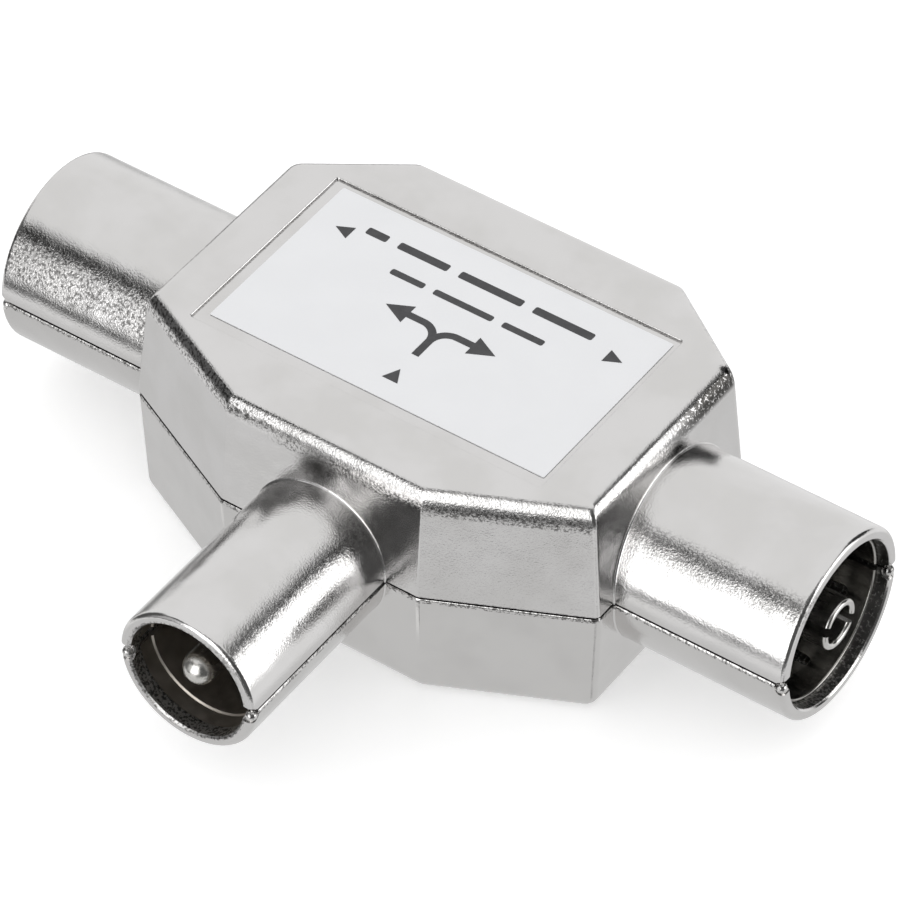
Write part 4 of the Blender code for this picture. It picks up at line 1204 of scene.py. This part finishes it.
def add_camera():
    turn, rise, roll = (math.radians(a) for a in (CAMERA_TURN, CAMERA_RISE, CAMERA_ROLL))
    back = Vector((math.sin(turn) * math.cos(rise), -math.cos(turn) * math.cos(rise), math.sin(rise)))
    level = Vector((math.cos(turn), math.sin(turn), 0))
    up = back.cross(level)
    right = level * math.cos(roll) + up * math.sin(roll)
    over = up * math.cos(roll) - level * math.sin(roll)
    place = back * CAMERA_DISTANCE - right * CAMERA_ASIDE - over * CAMERA_ABOVE + Vector((0, 0, SEAM_HEIGHT))
    lens = bpy.data.cameras.new("camera")
    lens.lens = LENS_MM
    lens.sensor_width = SENSOR_MM
    lens.sensor_fit = "HORIZONTAL"
    camera = bpy.data.objects.new("camera", lens)
    bpy.context.scene.collection.objects.link(camera)
    camera.matrix_world = Matrix((right, over, back)).transposed().to_4x4()
    camera.matrix_world.translation = place
    bpy.context.scene.camera = camera


def add_floor():
    """A pale floor. Reflections look through it to the studio, which is as bright below as the floor."""
    build = bmesh.new()
    bmesh.ops.create_grid(build, x_segments=1, y_segments=1, size=FLOOR_HALF)
    floor = add_mesh("floor", build)
    made, tree, shader = principled("pale_floor")
    shader.inputs["Base Color"].default_value = (FLOOR_WHITE, FLOOR_WHITE, FLOOR_WHITE, 1)
    shader.inputs["Roughness"].default_value = FLOOR_ROUGHNESS
    shader.inputs["Specular IOR Level"].default_value = 0.0
    shader.inputs["Emission Color"].default_value = (1, 1, 1, 1)
    shader.inputs["Emission Strength"].default_value = FLOOR_GLOW
    clear = tree.nodes.new("ShaderNodeBsdfTransparent")
    surface = by_ray(tree, shader.outputs[0], clear.outputs[0])
    tree.links.new(surface, tree.nodes["Material Output"].inputs["Surface"])
    floor.data.materials.append(made)


def add_studio():
    """A bright tent for soft light, and what the plating mirrors in it: dark cards and bright panels."""
    world = bpy.data.worlds.new("studio")
    world.use_nodes = True
    bpy.context.scene.world = world
    tree = world.node_tree
    tree.nodes.clear()
    direction = tree.nodes.new("ShaderNodeTexCoord").outputs["Generated"]
    split = tree.nodes.new("ShaderNodeSeparateXYZ")
    tree.links.new(direction, split.inputs[0])
    x, y, z = split.outputs
    rise = calc(tree, "DEGREES", calc(tree, "ARCSINE", z))
    turn = calc(tree, "DEGREES", calc(tree, "ARCTAN2", x, calc(tree, "MULTIPLY", y, -1.0)))

    def window(value, low, high, soft):
        above = ramp(tree, value, low - soft, low + soft)
        below = ramp(tree, value, high - soft, high + soft, 1.0, 0.0)
        return calc(tree, "MULTIPLY", above, below)

    radiance = ramp(tree, rise, *HORIZON_BLEND, FLOOR_MIRRORED, TENT_MIRRORED)
    for low, high, left, right, soft, level in MIRRORED_PANELS:
        share = calc(tree, "MULTIPLY", window(rise, low, high, soft), window(turn, left, right, soft))
        change = calc(tree, "SUBTRACT", level, radiance)
        radiance = calc(tree, "MULTIPLY_ADD", change, share, radiance)
    mirrored = tree.nodes.new("ShaderNodeBackground")
    tree.links.new(radiance, mirrored.inputs["Strength"])
    tent = tree.nodes.new("ShaderNodeBackground")
    tent.inputs["Strength"].default_value = TENT_LIGHT
    out = tree.nodes.new("ShaderNodeOutputWorld")
    tree.links.new(by_ray(tree, tent.outputs[0], mirrored.outputs[0]), out.inputs["Surface"])


LABEL_LOW_CORNER, LABEL_HIGH_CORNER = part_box("label")
LABEL_TOP = LABEL_HIGH_CORNER.z
RECESS_FLOOR = upper_high.z - RECESS_DEPTH

CAST_NICKEL = plated_casting("cast_nickel", (0.75, 0.74, 0.735), (0.7, 0.69, 0.68), 0.07, 0.01 * MM,
                             0.03 * MM)
SMOOTH_NICKEL = plated_casting("smooth_nickel", (0.72, 0.71, 0.7), (0.68, 0.67, 0.66), 0.1, 0.007 * MM,
                               0.025 * MM)
SHEET_NICKEL = plated_metal("sheet_nickel", (0.46, 0.45, 0.43), (0.36, 0.35, 0.33), 0.16, 0.006 * MM)
# The sleeve's nickel is painted darker and browner than the rest, as shade deep in the plug port
SHADED_SLEEVE_NICKEL = plated_metal("shaded_sleeve_nickel", (0.56, 0.52, 0.47), (0.46, 0.42, 0.37), 0.36, 0.006 * MM)
CONTACT_NICKEL = plated_metal("contact_nickel", (0.7, 0.69, 0.67), (0.6, 0.59, 0.57), 0.14, 0.004 * MM)
PIN_NICKEL = plated_metal("pin_nickel", (0.74, 0.73, 0.7), (0.66, 0.65, 0.62), 0.22, 0.003 * MM)
BLACK_PLASTIC = dull_material("black_plastic", (0.03, 0.027, 0.024), (0.042, 0.038, 0.034), 0.45, 800,
                              0.004 * MM)
LABEL_FILM = dull_material("label_film", (0.8, 0.805, 0.82), (0.815, 0.82, 0.835), 0.5, 300, 0.0005 * MM)
INK = dull_material("label_ink", (0.045, 0.045, 0.048), (0.06, 0.06, 0.063), 0.5, 2000, 0.001 * MM)
LAMINATE = dull_material("board_laminate", (0.03, 0.16, 0.07), (0.05, 0.21, 0.09), 0.4, 900, 0.004 * MM)
FERRITE = dull_material("ferrite", (0.05, 0.046, 0.045), (0.08, 0.075, 0.07), 0.6, 1600, 0.012 * MM)
COPPER = plated_metal("enamelled_wire", (0.62, 0.22, 0.08), (0.52, 0.17, 0.06), 0.22, 0.002 * MM)
LACQUER = dull_material("resistor_body", (0.6, 0.48, 0.3), (0.66, 0.54, 0.36), 0.4, 700, 0.006 * MM)
CERAMIC = dull_material("chip_ceramic", (0.42, 0.31, 0.2), (0.5, 0.37, 0.25), 0.55, 1500, 0.006 * MM)

CARRIED_OVER = {
    "circuit_board": LAMINATE,
    "matching_core": FERRITE,
    "splitting_core": FERRITE,
    "matching_winding": COPPER,
    "splitting_winding": COPPER,
    "balance_resistor": LACQUER,
    "tuning_capacitor": CERAMIC,
    "earth_strap": SHEET_NICKEL,
}


def dress_carried_over():
    """Gives every node that stays in view its procedural finish."""
    for name, finish in CARRIED_OVER.items():
        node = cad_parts[name]
        for place in node.material_slots:
            place.material = finish


dress_carried_over()
upper_shell()
lower_shell()
label_plate()
label_print()
input_pin()
input_sleeve()
insulator("input", "input_insulator")
slot_ring = slot_ring_tree()
for side in OUTPUTS:
    insulator(side, f"{side}_output_insulator")
    output_spring(side, slot_ring)
    output_contact(side)
add_floor()
add_studio()
add_camera()
bpy.context.scene.view_settings.view_transform = "Standard"
